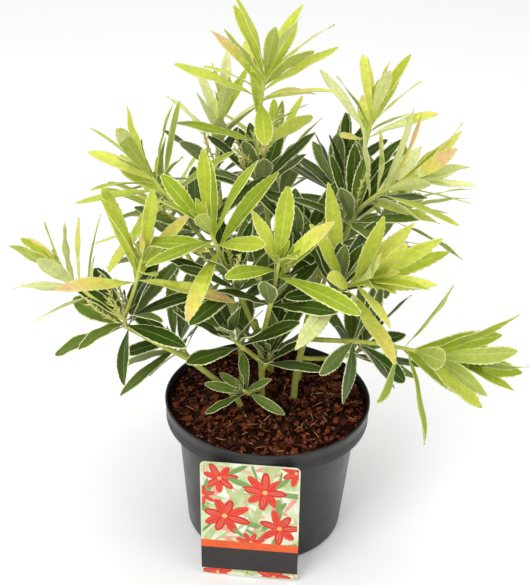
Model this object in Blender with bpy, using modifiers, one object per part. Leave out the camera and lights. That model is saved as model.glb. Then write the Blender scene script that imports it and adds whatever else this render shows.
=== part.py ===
"""Potted pieris: a young variegated shrub in a 17 cm nursery pot, with its picture card.

The pot stands on z = 0 with its axis at x = y = 0, and the card hangs on its front, at -Y.
Shrub: slender stems rise from the compost, each bough is one tapering limb, and each mass of
foliage is a twig that branches, with whorls of narrow leaves fused on.
"""

import math
import random
from collections import namedtuple

import bmesh
import bpy
from mathutils import Matrix, Vector
from mathutils.bvhtree import BVHTree

# Lengths below are written in millimetres and brought to metres by MM
MM = 0.001
CLEARANCE = 0.3 * MM
UP = Vector((0.0, 0.0, 1.0))

# Pot
RIM_RADIUS = 85.0 * MM
POT_HEIGHT = 124.3 * MM
COLLAR_HEIGHT = 18.0 * MM
COLLAR_FOOT_RADIUS = 84.0 * MM
WAIST_RADIUS = 74.7 * MM
BASE_RADIUS = 66.2 * MM
BASE_CORNER = 3.0 * MM
POT_WALL = 1.6 * MM
POT_STEPS = 40
DRAIN_HOLES = 8
DRAIN_RADIUS = 5.0 * MM
DRAIN_CIRCLE = 48.0 * MM

LIP_HEIGHT = 2.5 * MM
LIP_OUT = 0.6 * MM
WELD = 0.01 * MM

# Compost
COMPOST_TOP = 118.6 * MM

# Card
CARD_WIDTH = 78.4 * MM
CARD_HEIGHT = 114.0 * MM
CARD_THICKNESS = 0.6 * MM
CARD_CORNER = 4.0 * MM
CARD_CORNER_STEPS = 3
CARD_TOP = 115.2 * MM
CARD_SHIFT = -3.9 * MM
CARD_YAW = math.radians(-5.1)
CARD_ROLL = math.radians(0.9)

# Stems and boughs: the flat foot of a stem rests on the compost
LIMB_RESOLUTION = 1
LIMB_STATIONS = 4
Limb = namedtuple("Limb", "parent along tip bend radius tip_radius")
STEMS = {
    # name: foot x and y, tip, bend, radius at the foot, radius at the tip
    "left_stem": Limb(None, (-22, -12), (-72, -24, 178), (-22, -12, 130), 2.5, 2.1),
    "centre_stem": Limb(None, (-5, 2), (-12, -20, 206), (-5, 2, 165), 2.6, 2.2),
    "right_stem": Limb(None, (22, 5), (38, 0, 206), (22, 5, 165), 2.7, 2.3),
    "back_left_stem": Limb(None, (-22, 26), (-42, 38, 226), (-22, 26, 172), 2.6, 2.2),
    "back_right_stem": Limb(None, (26, 32), (44, 46, 226), (26, 32, 172), 2.6, 2.2),
    "rear_stem": Limb(None, (2, 44), (-2, 58, 240), (2, 44, 172), 2.7, 2.2),
}
BOUGHS = {
    # name: parent, share of the parent's length, tip, bend, radius, radius at the tip
    "left_bough": Limb("left_stem", 0.93, (-108, -37, 206), (-90, -30, 190), 2.1, 1.9),
    "left_low_bough": Limb("left_stem", 0.74, (-68, -4, 165), (-60, -12, 158), 1.9, 1.8),
    "front_left_bough": Limb("centre_stem", 0.80, (-25, -37, 240), (-17, -24, 213), 2.1, 1.9),
    "front_bough": Limb("centre_stem", 0.62, (-1, -40, 230), (-4, -24, 203), 2.1, 1.9),
    "front_low_bough": Limb("centre_stem", 0.42, (-20, -30, 187), (-13, -16, 173), 1.9, 1.8),
    "low_centre_bough": Limb("centre_stem", 0.28, (-2, -9, 160), (-4, -4, 152), 1.9, 1.8),
    "low_front_bough": Limb("centre_stem", 0.12, (-15, -16, 136), (-12, -8, 132), 1.8, 1.8),
    "lower_right_bough": Limb("right_stem", 0.66, (62, -34, 199), (42, -14, 187), 2.1, 1.9),
    "right_low_bough": Limb("right_stem", 0.44, (66, 8, 160), (46, 8, 154), 1.9, 1.8),
    "right_mid_bough": Limb("right_stem", 0.94, (48, -20, 232), (42, -8, 218), 2.1, 1.9),
    "centre_bough": Limb("right_stem", 0.84, (22, 2, 240), (26, 2, 214), 2.0, 1.9),
    "upper_left_bough": Limb("back_left_stem", 0.94, (-58, 16, 262), (-50, 30, 244), 2.1, 1.9),
    "behind_left_bough": Limb("back_left_stem", 0.84, (-46, 72, 284), (-40, 56, 240), 2.0, 1.9),
    "back_left_bough": Limb("back_left_stem", 0.66, (-74, 80, 214), (-56, 56, 196), 2.0, 1.8),
    "top_bough": Limb("rear_stem", 0.94, (-9, 46, 284), (-4, 58, 262), 2.1, 1.9),
    "back_bough": Limb("rear_stem", 0.84, (4, 104, 248), (2, 76, 228), 2.0, 1.9),
    "back_low_left_bough": Limb("rear_stem", 0.70, (-46, 112, 208), (-20, 78, 192), 2.0, 1.8),
    "rear_low_bough": Limb("rear_stem", 0.40, (8, 84, 162), (6, 66, 156), 1.9, 1.8),
    "upper_right_bough": Limb("back_right_stem", 0.95, (58, 44, 276), (52, 46, 252), 2.1, 1.9),
    "right_bough": Limb("back_right_stem", 0.88, (60, 22, 272), (54, 34, 240), 2.1, 1.9),
    "behind_right_bough": Limb("back_right_stem", 0.80, (48, 68, 278), (46, 58, 236), 2.0, 1.9),
    "back_right_bough": Limb("back_right_stem", 0.68, (84, 76, 222), (62, 56, 200), 2.0, 1.8),
    "back_low_right_bough": Limb("back_right_stem", 0.52, (56, 112, 200), (44, 74, 184), 2.0, 1.8),
}

# Room that a leaf keeps from its neighbours, and the swings it tries to find it, in degrees
LEAF_MARGIN = 0.4 * MM
LIMB_MARGIN = 0.6 * MM
RIM_MARGIN = 3.0 * MM
COMPOST_MARGIN = 2.0 * MM
TREE_SIDES = 6
SWINGS = (0, 10, -10, 20, -20, 32)

# Masses of foliage: six-sided twigs, and whorls of leaves that follow the golden angle
TWIG_RESOLUTION = 0
TWIG_STATIONS = 4
TWIG_RADIUS = 1.8
TWIG_TIP_RADIUS = 1.3
GOLDEN_ANGLE = math.radians(137.508)
LENGTH_SHARE = 0.98
LENGTH_LOOSENESS = 1 / 75
Kind = namedtuple("Kind", "length width outer inner span arch loose rise")
KINDS = {
    # leaf length and width, angle from the whorl's axis of the outer and inner leaves, span,
    # arch, how loosely the leaves follow that angle, and how far the axis turns up from the twig
    "young": Kind(70, 14.5, 84, 14, 22, 14, 9, 0.0),
    "fan": Kind(82, 15, 68, 10, 34, 8, 9, 0.0),
    "pale": Kind(60, 12, 64, 8, 28, 12, 9, 0.0),
    "sweep": Kind(68, 13.5, 60, 8, 34, 10, 9, 0.0),
    "old": Kind(64, 15, 96, 36, 18, 20, 12, 0.0),
    "upright": Kind(62, 14, 70, 8, 24, 12, 14, 0.65),
    "low": Kind(40, 9.5, 94, 44, 14, 16, 18, 0.2),
}
Shoot = namedtuple("Shoot", "along tip whorls")
MASSES = {
    # name: bough, then the shoots: share of the stem where each leaves it, its tip, its whorls
    "front_left_mass": ("front_left_bough", (
        Shoot(0, (-46, -67, 308), (("young", 1.0, 11, 216), ("upright", 0.14, 11, 50))),
    )),
    "front_mass": ("front_bough", (
        Shoot(0, (4, -73, 286), (("young", 1.0, 8, 354), ("upright", 0.12, 10, 10))),
    )),
    "left_spray": ("left_bough", (
        Shoot(0, (-110, -40, 222), (("old", 1.0, 14, 174),)),
        Shoot(0.7, (-159, -28, 250), (("pale", 1.0, 12, 240),)),
        Shoot(0.9, (-95, -55, 276), (("young", 1.0, 9, 42),)),
    )),
    "lower_right_mass": ("lower_right_bough", (
        Shoot(0, (128, -80, 215), (("fan", 1.0, 13, 132), ("old", 0.12, 6, 220))),
    )),
    "right_mid_mass": ("right_mid_bough", (
        Shoot(0, (68, -50, 262), (("fan", 1.0, 14, 216), ("upright", 0.12, 11, 200))),
    )),
    "top_mass": ("top_bough", (
        Shoot(0, (-9, 25, 396), (("young", 1.0, 17, 228), ("young", 0.66, 4, 10),
                                 ("upright", 0.22, 14, 120))),
    )),
    "upper_left_mass": ("upper_left_bough", (
        Shoot(0, (-95, -2, 321), (("young", 1.0, 14, 174), ("upright", 0.14, 11, 70))),
    )),
    "right_mass": ("right_bough", (
        Shoot(0, (104, 8, 319), (("sweep", 1.0, 16, 336), ("upright", 0.14, 10, 250))),
    )),
    "upper_right_mass": ("upper_right_bough", (
        Shoot(0, (74, 40, 362), (("pale", 1.0, 14, 282), ("upright", 0.12, 9, 160))),
    )),
    "front_low_mass": ("front_low_bough", (
        Shoot(0, (-30, -48, 208), (("upright", 1.0, 13, 42),)),
    )),
    "left_low_mass": ("left_low_bough", (
        Shoot(0, (-78, -8, 180), (("old", 1.0, 11, 216),)),
    )),
    "right_low_mass": ("right_low_bough", (
        Shoot(0, (80, 8, 178), (("upright", 1.0, 12, 288), ("old", 0.3, 4, 30))),
    )),
    "low_front_mass": ("low_front_bough", (
        Shoot(0, (-20, -24, 144), (("low", 1.0, 7, 345),)),
    )),
    "low_centre_mass": ("low_centre_bough", (
        Shoot(0, (0, -18, 176), (("upright", 1.0, 12, 120),)),
    )),
    "centre_mass": ("centre_bough", (
        Shoot(0, (20, 0, 272), (("upright", 1.0, 14, 45), ("old", 0.2, 8, 170))),
    )),
    "behind_left_mass": ("behind_left_bough", (
        Shoot(0, (-44, 80, 340), (("pale", 1.0, 13, 216), ("old", 0.2, 8, 12))),
    )),
    "behind_right_mass": ("behind_right_bough", (
        Shoot(0, (53, 62, 298), (("upright", 1.0, 16, 324),)),
    )),
    "back_mass": ("back_bough", (
        Shoot(0, (0, 128, 288), (("young", 1.0, 13, 180), ("old", 0.2, 8, 66))),
    )),
    "back_left_mass": ("back_left_bough", (
        Shoot(0, (-98, 102, 252), (("young", 1.0, 12, 5), ("old", 0.2, 8, 100))),
    )),
    "back_right_mass": ("back_right_bough", (
        Shoot(0, (112, 102, 262), (("young", 1.0, 13, 170), ("old", 0.2, 8, 230))),
    )),
    "back_low_left_mass": ("back_low_left_bough", (
        Shoot(0, (-72, 146, 224), (("young", 1.0, 11, 260), ("old", 0.2, 8, 19))),
    )),
    "back_low_right_mass": ("back_low_right_bough", (
        Shoot(0, (72, 150, 222), (("young", 1.0, 11, 300), ("old", 0.2, 8, 119))),
    )),
    "rear_low_mass": ("rear_low_bough", (
        Shoot(0, (10, 104, 176), (("old", 1.0, 9, 219),)),
    )),
}

Leaf = namedtuple("Leaf", "mass kind root along up length width arch")


def vector(values):
    """A point or direction given in millimetres, in metres."""
    return Vector(values) * MM


def curve_point(start, bend, tip, share):
    """Point at a share of a limb that leaves start towards bend and reaches tip."""
    return start.lerp(bend, share).lerp(bend.lerp(tip, share), share)


class Path:
    """The middle line of a limb or twig, with its taper."""

    def __init__(self, start, bend, tip, radius, tip_radius, stations):
        self.start, self.bend, self.tip = start, bend, tip
        self.radius, self.tip_radius = radius, tip_radius
        self.stations = stations
        self.side = (tip - start).orthogonal().normalized()

    def point(self, share):
        return curve_point(self.start, self.bend, self.tip, share)

    def direction(self, share):
        along = (self.bend - self.start).lerp(self.tip - self.bend, share)
        return along.normalized()

    def spoke(self, share, angle):
        """Direction square to the line, at an angle round it."""
        along = self.direction(share)
        across = (self.side - along * self.side.dot(along)).normalized()
        return across * math.cos(angle) + along.cross(across) * math.sin(angle)

    def thickness(self, share):
        return self.radius + (self.tip_radius - self.radius) * share

    def ring(self, share, sides, extra):
        """Corners of the cross section at a share of the length, made thicker by extra."""
        radius = self.thickness(share) + extra
        centre = self.point(share)
        return [centre + self.spoke(share, number * math.tau / sides) * radius
                for number in range(sides)]


def limb_paths():
    """Every stem and bough, worked out from the tables."""
    paths = {}
    for name, limb in STEMS.items():
        foot = vector((*limb.along, 0))
        foot.z = COMPOST_TOP + CLEARANCE
        bend = vector(limb.bend)
        bend.x, bend.y = foot.x, foot.y
        paths[name] = Path(foot, bend, vector(limb.tip), limb.radius * MM,
                           limb.tip_radius * MM, LIMB_STATIONS)
    for name, limb in BOUGHS.items():
        parent = paths[limb.parent]
        paths[name] = Path(parent.point(limb.along), vector(limb.bend), vector(limb.tip),
                           limb.radius * MM, limb.tip_radius * MM, LIMB_STATIONS)
    return paths


def twig_paths(name, limbs):
    """The stem of one mass, 0.3 mm from its bough's tip, and the shoots that leave it."""
    bough_name, shoots = MASSES[name]
    bough = limbs[bough_name]
    lead = bough.direction(1.0)
    paths = []
    for shoot in shoots:
        tip = vector(shoot.tip)
        if not paths:
            start = bough.tip + lead * CLEARANCE
            bend = start + lead * (tip - start).length * 0.45
            radius = bough.tip_radius
        else:
            start = paths[0].point(shoot.along)
            middle = start.lerp(tip, 0.5)
            bend = middle - UP * (tip - start).length * 0.12
            radius = TWIG_RADIUS * MM
        paths.append(Path(start, bend, tip, radius, TWIG_TIP_RADIUS * MM, TWIG_STATIONS))
    return paths


def whorl(mass, path, kind_name, at, count, turn):
    """Leaves round one stretch of a twig, the outer ones low and wide, the inner ones upright."""
    kind = KINDS[kind_name]
    chance = random.Random(turn * 7919 + count)
    length_of_path = (path.tip - path.start).length
    for index in range(count):
        share = index / max(count - 1, 1)
        back = kind.span * MM * (1.0 - share) + 1.5 * MM
        place = max(at - back / length_of_path, 0.04)
        along = path.direction(place).lerp(UP, kind.rise).normalized()
        angle = math.radians(turn) + index * GOLDEN_ANGLE + chance.uniform(-0.25, 0.25)
        side = path.spoke(place, angle)
        side = (side - along * side.dot(along)).normalized()
        opening = kind.outer + (kind.inner - kind.outer) * share
        opening = math.radians(opening + chance.uniform(-kind.loose, kind.loose))
        heading = along * math.cos(opening) + side * math.sin(opening)
        up = along * math.sin(opening) - side * math.cos(opening)
        length = kind.length * (1.0 - 0.22 * share * share)
        length *= LENGTH_SHARE + chance.uniform(-1, 1) * kind.loose * LENGTH_LOOSENESS
        width = kind.width * (1.0 - 0.25 * share) * chance.uniform(0.9, 1.1)
        yield Leaf(mass, kind_name, path.point(place), heading, up, length * MM, width * MM,
                   math.radians(kind.arch * chance.uniform(0.5, 1.5)))


# Sections of a leaf: share of its length, half width as a share of the leaf's own
LEAF_SECTIONS = ((0.0, 0.0), (0.64, 1.0))
LEAF_ABOVE = 0.4 * MM
LEAF_BELOW = 0.6 * MM
STALK_HALF_WIDTH = 0.9 * MM


def leaf_spine(leaf, share):
    """Point, heading and upward direction on the arching middle line of a leaf."""
    angle = leaf.arch * share
    half = angle * 0.5
    chord = leaf.along * math.cos(half) - leaf.up * math.sin(half)
    heading = leaf.along * math.cos(angle) - leaf.up * math.sin(angle)
    up = leaf.up * math.cos(angle) + leaf.along * math.sin(angle)
    return leaf.root + chord * leaf.length * share, heading, up


def leaf_corners(leaf, swell=0.0):
    """Corners of the leaf's three-sided sections, from the root on, with its tip last."""
    corners = []
    for share, wide in LEAF_SECTIONS:
        point, heading, up = leaf_spine(leaf, share)
        across = heading.cross(up) * (max(leaf.width * 0.5 * wide, STALK_HALF_WIDTH) + swell)
        lifted = point + up * (LEAF_ABOVE + swell)
        corners += [lifted - across, lifted + across, point - up * (LEAF_BELOW + swell)]
    tip, heading, up = leaf_spine(leaf, 1.0)
    return corners + [tip + heading * swell]


def loft_faces(sides, rows, pointed):
    """Faces between rows of corners, closed at the first row, and in one point or a flat end."""
    faces = [tuple(reversed(range(sides)))]
    for low in range(0, (rows - 1) * sides, sides):
        for number in range(sides):
            following = (number + 1) % sides
            faces.append((low + number, low + following, low + sides + following,
                          low + sides + number))
    last = (rows - 1) * sides
    if pointed:
        faces += [(last + number, last + (number + 1) % sides, last + sides)
                  for number in range(sides)]
    else:
        faces.append(tuple(range(last, last + sides)))
    return faces


LEAF_FACES = loft_faces(3, len(LEAF_SECTIONS), True)


def leaf_tree(leaf, swell=0.0):
    """Search tree of a leaf's surface."""
    return BVHTree.FromPolygons(leaf_corners(leaf, swell), LEAF_FACES)


def limb_tree(path, extra):
    """Search tree of a limb, made a little thicker by extra."""
    corners = []
    for step in range(path.stations + 1):
        corners += path.ring(step / path.stations, TREE_SIDES, extra)
    return BVHTree.FromPolygons(corners, loft_faces(TREE_SIDES, path.stations + 1, False))


def clear_of_pot(leaf):
    """True where every corner of the leaf is well over the pot, or over the compost inside it."""
    for corner in leaf_corners(leaf):
        inside = math.hypot(corner.x, corner.y) < RIM_RADIUS - RIM_MARGIN
        floor = COMPOST_TOP + COMPOST_MARGIN if inside else POT_HEIGHT + RIM_MARGIN
        if corner.z < floor:
            return False
    return True


def fit_leaf(leaf, obstacles, kept):
    """The leaf, swung a little where that clears its neighbours, with its search tree, or None."""
    for swing in SWINGS:
        angle = math.radians(swing)
        tried = leaf._replace(along=leaf.along * math.cos(angle) + leaf.up * math.sin(angle),
                              up=leaf.up * math.cos(angle) - leaf.along * math.sin(angle))
        if not clear_of_pot(tried):
            continue
        tree = leaf_tree(tried, LEAF_MARGIN)
        if any(tree.overlap(other) for other in obstacles):
            continue
        middle = leaf_spine(tried, 0.5)[0]
        near = [other_tree for other, other_tree, other_middle in kept
                if other.mass != leaf.mass
                and (other_middle - middle).length < (leaf.length + other.length) * 0.6]
        if not any(tree.overlap(other) for other in near):
            return tried, leaf_tree(tried), middle
    return None


def plan_plant():
    """Paths of the limbs and twigs, and every leaf that keeps clear of other masses and limbs."""
    limbs = limb_paths()
    twigs = {name: twig_paths(name, limbs) for name in MASSES}
    limb_trees = [limb_tree(path, LIMB_MARGIN) for path in limbs.values()]
    twig_trees = {name: [limb_tree(path, LIMB_MARGIN) for path in paths]
                  for name, paths in twigs.items()}
    kept = []
    for name, (bough, shoots) in MASSES.items():
        obstacles = list(limb_trees)
        for other, trees in twig_trees.items():
            if other != name:
                obstacles += trees
        for path, shoot in zip(twigs[name], shoots):
            for kind_name, at, count, turn in shoot.whorls:
                for leaf in whorl(name, path, kind_name, at, count, turn):
                    fitted = fit_leaf(leaf, obstacles, kept)
                    if fitted:
                        kept.append(fitted)
    return limbs, twigs, [leaf for leaf, tree, middle in kept]


def clear_scene():
    for thing in list(bpy.data.objects):
        bpy.data.objects.remove(thing)


def new_collection(name):
    collection = bpy.data.collections.new(name)
    bpy.context.scene.collection.children.link(collection)
    return collection


def new_material(name, colour, roughness):
    material = bpy.data.materials.new(name)
    material.use_nodes = True
    shader = material.node_tree.nodes["Principled BSDF"]
    shader.inputs["Base Color"].default_value = (*colour, 1.0)
    shader.inputs["Roughness"].default_value = roughness
    shader.inputs["Metallic"].default_value = 0.0
    return material


def new_object(name, data, collection, material=None):
    thing = bpy.data.objects.new(name, data)
    collection.objects.link(thing)
    if material:
        data.materials.append(material)
    return thing


def settled_mesh(thing):
    """The object's evaluated mesh as a new mesh."""
    bpy.context.view_layer.update()
    depsgraph = bpy.context.evaluated_depsgraph_get()
    return bpy.data.meshes.new_from_object(thing.evaluated_get(depsgraph))


def weld(mesh):
    """Join a curve's loose caps to its sides."""
    welded = bmesh.new()
    welded.from_mesh(mesh)
    bmesh.ops.remove_doubles(welded, verts=welded.verts, dist=WELD)
    welded.to_mesh(mesh)
    welded.free()


def apply_boolean(thing):
    """Apply the piece's Boolean, and keep only the largest body that it leaves."""
    mesh = settled_mesh(thing)
    thing.modifiers.clear()
    thing.data = mesh
    joined = bmesh.new()
    joined.from_mesh(mesh)
    unseen = set(joined.verts)
    bodies = []
    while unseen:
        body = []
        front = [unseen.pop()]
        while front:
            vertex = front.pop()
            body.append(vertex)
            for edge in vertex.link_edges:
                other = edge.other_vert(vertex)
                if other in unseen:
                    unseen.remove(other)
                    front.append(other)
        bodies.append(body)
    bodies.sort(key=len)
    scraps = [vertex for body in bodies[:-1] for vertex in body]
    bmesh.ops.delete(joined, geom=scraps, context="VERTS")
    joined.to_mesh(mesh)
    joined.free()


def turned(name, profile, collection, material):
    """A solid turned round the Z axis from a profile of (radius, height) points."""
    mesh = bpy.data.meshes.new(name)
    mesh.from_pydata([(radius, 0.0, height) for radius, height in profile],
                     [(number, number + 1) for number in range(len(profile) - 1)], [])
    thing = new_object(name, mesh, collection, material)
    screw = thing.modifiers.new("turn", "SCREW")
    screw.axis = "Z"
    screw.steps = POT_STEPS
    screw.render_steps = POT_STEPS
    screw.use_merge_vertices = True
    screw.merge_threshold = WELD
    screw.use_smooth_shade = True
    return thing


def collar_radius(height):
    """Outer radius of the collar, which widens from its foot to the lip."""
    share = (height - POT_HEIGHT + COLLAR_HEIGHT) / COLLAR_HEIGHT
    return COLLAR_FOOT_RADIUS + (RIM_RADIUS - LIP_OUT - COLLAR_FOOT_RADIUS) * share


def inner_radius(height):
    """Inside radius of the pot's tapering wall below its collar."""
    share = height / (POT_HEIGHT - COLLAR_HEIGHT)
    return BASE_RADIUS + (WAIST_RADIUS - BASE_RADIUS) * share - POT_WALL


def make_pot(collection, cutters, material):
    """Thin tapering pot with a stepped collar, a rolled lip and drain holes in its base."""
    foot = POT_HEIGHT - COLLAR_HEIGHT
    ledge = foot + POT_WALL
    lip_foot = POT_HEIGHT - LIP_HEIGHT
    profile = [
        (0.0, POT_WALL),
        (inner_radius(POT_WALL) - BASE_CORNER, POT_WALL),
        (inner_radius(BASE_CORNER), POT_WALL + BASE_CORNER),
        (inner_radius(ledge), ledge),
        (COLLAR_FOOT_RADIUS - POT_WALL, ledge),
        (RIM_RADIUS - POT_WALL, POT_HEIGHT),
        (RIM_RADIUS, POT_HEIGHT),
        (RIM_RADIUS, lip_foot),
        (RIM_RADIUS - LIP_OUT, lip_foot - LIP_OUT),
        (COLLAR_FOOT_RADIUS, foot),
        (WAIST_RADIUS, foot),
        (BASE_RADIUS, BASE_CORNER),
        (BASE_RADIUS - BASE_CORNER, 0.0),
        (0.0, 0.0),
    ]
    pot = turned("pot", profile, collection, material)
    holes = bmesh.new()
    for number in range(DRAIN_HOLES):
        angle = (number + 0.5) * math.tau / DRAIN_HOLES
        place = Vector((math.cos(angle), math.sin(angle), 0.0)) * DRAIN_CIRCLE
        bmesh.ops.create_cone(holes, cap_ends=True, segments=12, radius1=DRAIN_RADIUS,
                              radius2=DRAIN_RADIUS, depth=4 * POT_WALL,
                              matrix=Matrix.Translation(place))
    mesh = bpy.data.meshes.new("drain_cutter")
    holes.to_mesh(mesh)
    holes.free()
    cutter = new_object("drain_cutter", mesh, cutters)
    cut(pot, cutter)
    return pot


def cut(thing, cutter):
    """Take the cutter's shape out of a piece, and keep the cutter out of the model."""
    cutter.hide_render = True
    cutter.display_type = "WIRE"
    boolean = thing.modifiers.new("cut", "BOOLEAN")
    boolean.operation = "DIFFERENCE"
    boolean.solver = "EXACT"
    boolean.object = cutter


def make_compost(collection, material):
    """The fill of the pot, 0.3 mm clear of its walls, with a level top."""
    ledge = POT_HEIGHT - COLLAR_HEIGHT + POT_WALL
    low = POT_WALL + CLEARANCE
    top_share = (COMPOST_TOP - ledge) / (POT_HEIGHT - ledge)
    collar_foot = COLLAR_FOOT_RADIUS - POT_WALL
    collar_top = collar_foot + (RIM_RADIUS - COLLAR_FOOT_RADIUS) * top_share
    profile = [
        (0.0, COMPOST_TOP),
        (collar_top - CLEARANCE, COMPOST_TOP),
        (collar_foot - CLEARANCE, ledge + CLEARANCE),
        (inner_radius(ledge) - CLEARANCE, ledge + CLEARANCE),
        (inner_radius(BASE_CORNER) - 2 * CLEARANCE, low + BASE_CORNER),
        (inner_radius(POT_WALL) - BASE_CORNER - 2 * CLEARANCE, low),
        (0.0, low),
    ]
    return turned("compost", profile, collection, material)


def make_card(collection, material):
    """The picture card: a thin sheet with round corners that hangs against the collar."""
    outline = bpy.data.curves.new("picture_card", "CURVE")
    outline.dimensions = "2D"
    outline.fill_mode = "BOTH"
    outline.extrude = CARD_THICKNESS / 2
    points = []
    for corner in range(4):
        across = 1 if corner in (0, 3) else -1
        above = 1 if corner in (0, 1) else -1
        centre = Vector((across * (CARD_WIDTH / 2 - CARD_CORNER),
                         above * (CARD_HEIGHT / 2 - CARD_CORNER)))
        for step in range(CARD_CORNER_STEPS + 1):
            angle = (corner + step / CARD_CORNER_STEPS) * math.pi / 2
            points.append((centre.x + CARD_CORNER * math.cos(angle),
                           centre.y + CARD_CORNER * math.sin(angle), 0.0, 1.0))
    spline = outline.splines.new("POLY")
    spline.points.add(len(points) - 1)
    for point, place in zip(spline.points, points):
        point.co = place
    spline.use_cyclic_u = True
    card = new_object("picture_card", outline, collection, material)
    stand_off = collar_radius(CARD_TOP) + CLEARANCE + CARD_THICKNESS / 2
    facing = Matrix.Rotation(CARD_YAW, 4, "Z") @ Matrix.Rotation(math.pi / 2, 4, "X")
    place = Matrix.Rotation(CARD_YAW, 4, "Z") @ Vector((CARD_SHIFT, -stand_off, 0.0))
    place.z = CARD_TOP - CARD_HEIGHT / 2
    card.matrix_world = Matrix.Translation(place) @ facing @ Matrix.Rotation(CARD_ROLL, 4, "Z")
    return card


def tube(name, path, resolution, extra, collection, material=None):
    """Solid of a limb or twig: a curve whose bevel follows its taper, made a mesh."""
    line = bpy.data.curves.new(name, "CURVE")
    line.dimensions = "3D"
    line.bevel_depth = 1.0
    line.bevel_resolution = resolution
    line.use_fill_caps = True
    shares = [step / path.stations for step in range(path.stations + 1)]
    stops = [(path.point(share), path.thickness(share)) for share in shares]
    # A short straight piece at each end keeps the cut square to the limb
    stub = path.radius * 0.5
    stops.insert(1, (path.start + path.direction(0.0) * stub, stops[0][1]))
    stops.insert(-1, (path.tip - path.direction(1.0) * stub, stops[-1][1]))
    spline = line.splines.new("POLY")
    spline.points.add(len(stops) - 1)
    for point, (place, radius) in zip(spline.points, stops):
        point.co = (*place, 1.0)
        point.radius = radius + extra
    guide = new_object(name + "_line", line, collection)
    mesh = settled_mesh(guide)
    weld(mesh)
    thing = new_object(name, mesh, collection, material)
    bpy.data.objects.remove(guide)
    bpy.data.curves.remove(line)
    return thing


def make_limb(name, limb, limbs, collection, cutters, material):
    """One stem or bough. A bough starts inside its parent and is cut back 0.3 mm clear of it."""
    thing = tube(name, limbs[name], LIMB_RESOLUTION, 0.0, collection, material)
    if limb.parent:
        cutter_name = limb.parent + "_cutter"
        cutter = bpy.data.objects.get(cutter_name)
        if not cutter:
            cutter = tube(cutter_name, limbs[limb.parent], LIMB_RESOLUTION, CLEARANCE * 1.1,
                          cutters)
        cut(thing, cutter)
        apply_boolean(thing)
    return thing


def make_leaf(leaf, number, collection):
    mesh = bpy.data.meshes.new("leaf_%d" % number)
    mesh.from_pydata(leaf_corners(leaf), [], LEAF_FACES)
    return new_object("leaf_%d" % number, mesh, collection)


def make_mass(name, paths, leaves, collection, material):
    """A mass of foliage: its stem, shoots and leaves joined by one Boolean union."""
    stem = tube(name, paths[0], TWIG_RESOLUTION, 0.0, collection, material)
    loose = new_collection(name + "_loose")
    for number, path in enumerate(paths[1:]):
        tube("shoot_%d" % number, path, TWIG_RESOLUTION, 0.0, loose)
    for number, leaf in enumerate(leaves):
        make_leaf(leaf, number, loose)
    union = stem.modifiers.new("join", "BOOLEAN")
    union.operation = "UNION"
    union.operand_type = "COLLECTION"
    union.collection = loose
    union.solver = "MANIFOLD"
    apply_boolean(stem)
    for thing in list(loose.objects):
        bpy.data.objects.remove(thing)
    bpy.data.collections.remove(loose)
    return stem


def main():
    clear_scene()
    collection = new_collection("potted_pieris")
    cutters = new_collection("cutters")
    plastic = new_material("dark grey plastic", (0.075, 0.075, 0.082), 0.45)
    fill = new_material("bark compost", (0.10, 0.035, 0.02), 0.95)
    card = new_material("printed card", (0.75, 0.72, 0.60), 0.35)
    bark = new_material("stem bark", (0.24, 0.22, 0.06), 0.7)
    fresh = new_material("fresh leaves", (0.42, 0.56, 0.10), 0.5)
    dark = new_material("older leaves", (0.05, 0.11, 0.03), 0.45)
    make_pot(collection, cutters, plastic)
    make_compost(collection, fill)
    make_card(collection, card)
    limbs, twigs, leaves = plan_plant()
    for table in (STEMS, BOUGHS):
        for name, limb in table.items():
            make_limb(name, limb, limbs, collection, cutters, bark)
    for name, paths in twigs.items():
        own = [leaf for leaf in leaves if leaf.mass == name]
        fresh_ones = sum(1 for leaf in own if leaf.kind in ("young", "fan", "pale"))
        make_mass(name, paths, own, collection, fresh if fresh_ones else dark)
    root = bpy.data.objects.new("potted_pieris", None)
    collection.objects.link(root)
    for thing in collection.objects:
        if thing != root:
            thing.parent = root


main()
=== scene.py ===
"""Looks of the potted pieris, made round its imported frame.

The limbs, twigs and leaves grow by the part's own rule, written again here and carried finer:
toothed leaves with a cream edge, small heart leaves, bud sprays, bark relief, a moulded pot,
bark-chip compost and a printed card. Tables are in millimetres, which MM brings to metres.
"""

import math
import random
from collections import namedtuple

import bmesh
import bpy
from mathutils import Matrix, Vector, noise
from mathutils.bvhtree import BVHTree


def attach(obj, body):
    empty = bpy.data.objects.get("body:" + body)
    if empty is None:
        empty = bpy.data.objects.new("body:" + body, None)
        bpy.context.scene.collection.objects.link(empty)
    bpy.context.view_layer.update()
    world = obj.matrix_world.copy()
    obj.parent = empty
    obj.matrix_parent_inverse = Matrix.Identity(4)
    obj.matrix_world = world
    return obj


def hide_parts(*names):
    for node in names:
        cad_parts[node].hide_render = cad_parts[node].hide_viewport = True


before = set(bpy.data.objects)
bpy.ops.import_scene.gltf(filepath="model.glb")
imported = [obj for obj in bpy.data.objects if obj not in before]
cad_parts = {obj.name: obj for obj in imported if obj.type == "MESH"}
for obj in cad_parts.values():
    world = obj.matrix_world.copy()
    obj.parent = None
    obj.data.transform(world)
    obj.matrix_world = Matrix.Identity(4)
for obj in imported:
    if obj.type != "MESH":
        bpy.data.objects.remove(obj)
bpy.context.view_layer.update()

MM = 0.001
CLEARANCE = 0.3 * MM
WELD = 0.001 * MM
UP = Vector((0.0, 0.0, 1.0))

# Camera, at the photograph's viewing angle
CAMERA_PLACE = (-5.3, -787.6, 656.3)
CAMERA_PITCH = math.radians(28.94)
CAMERA_ROLL = math.radians(1.78)
CAMERA_LENS = 70.04

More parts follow.
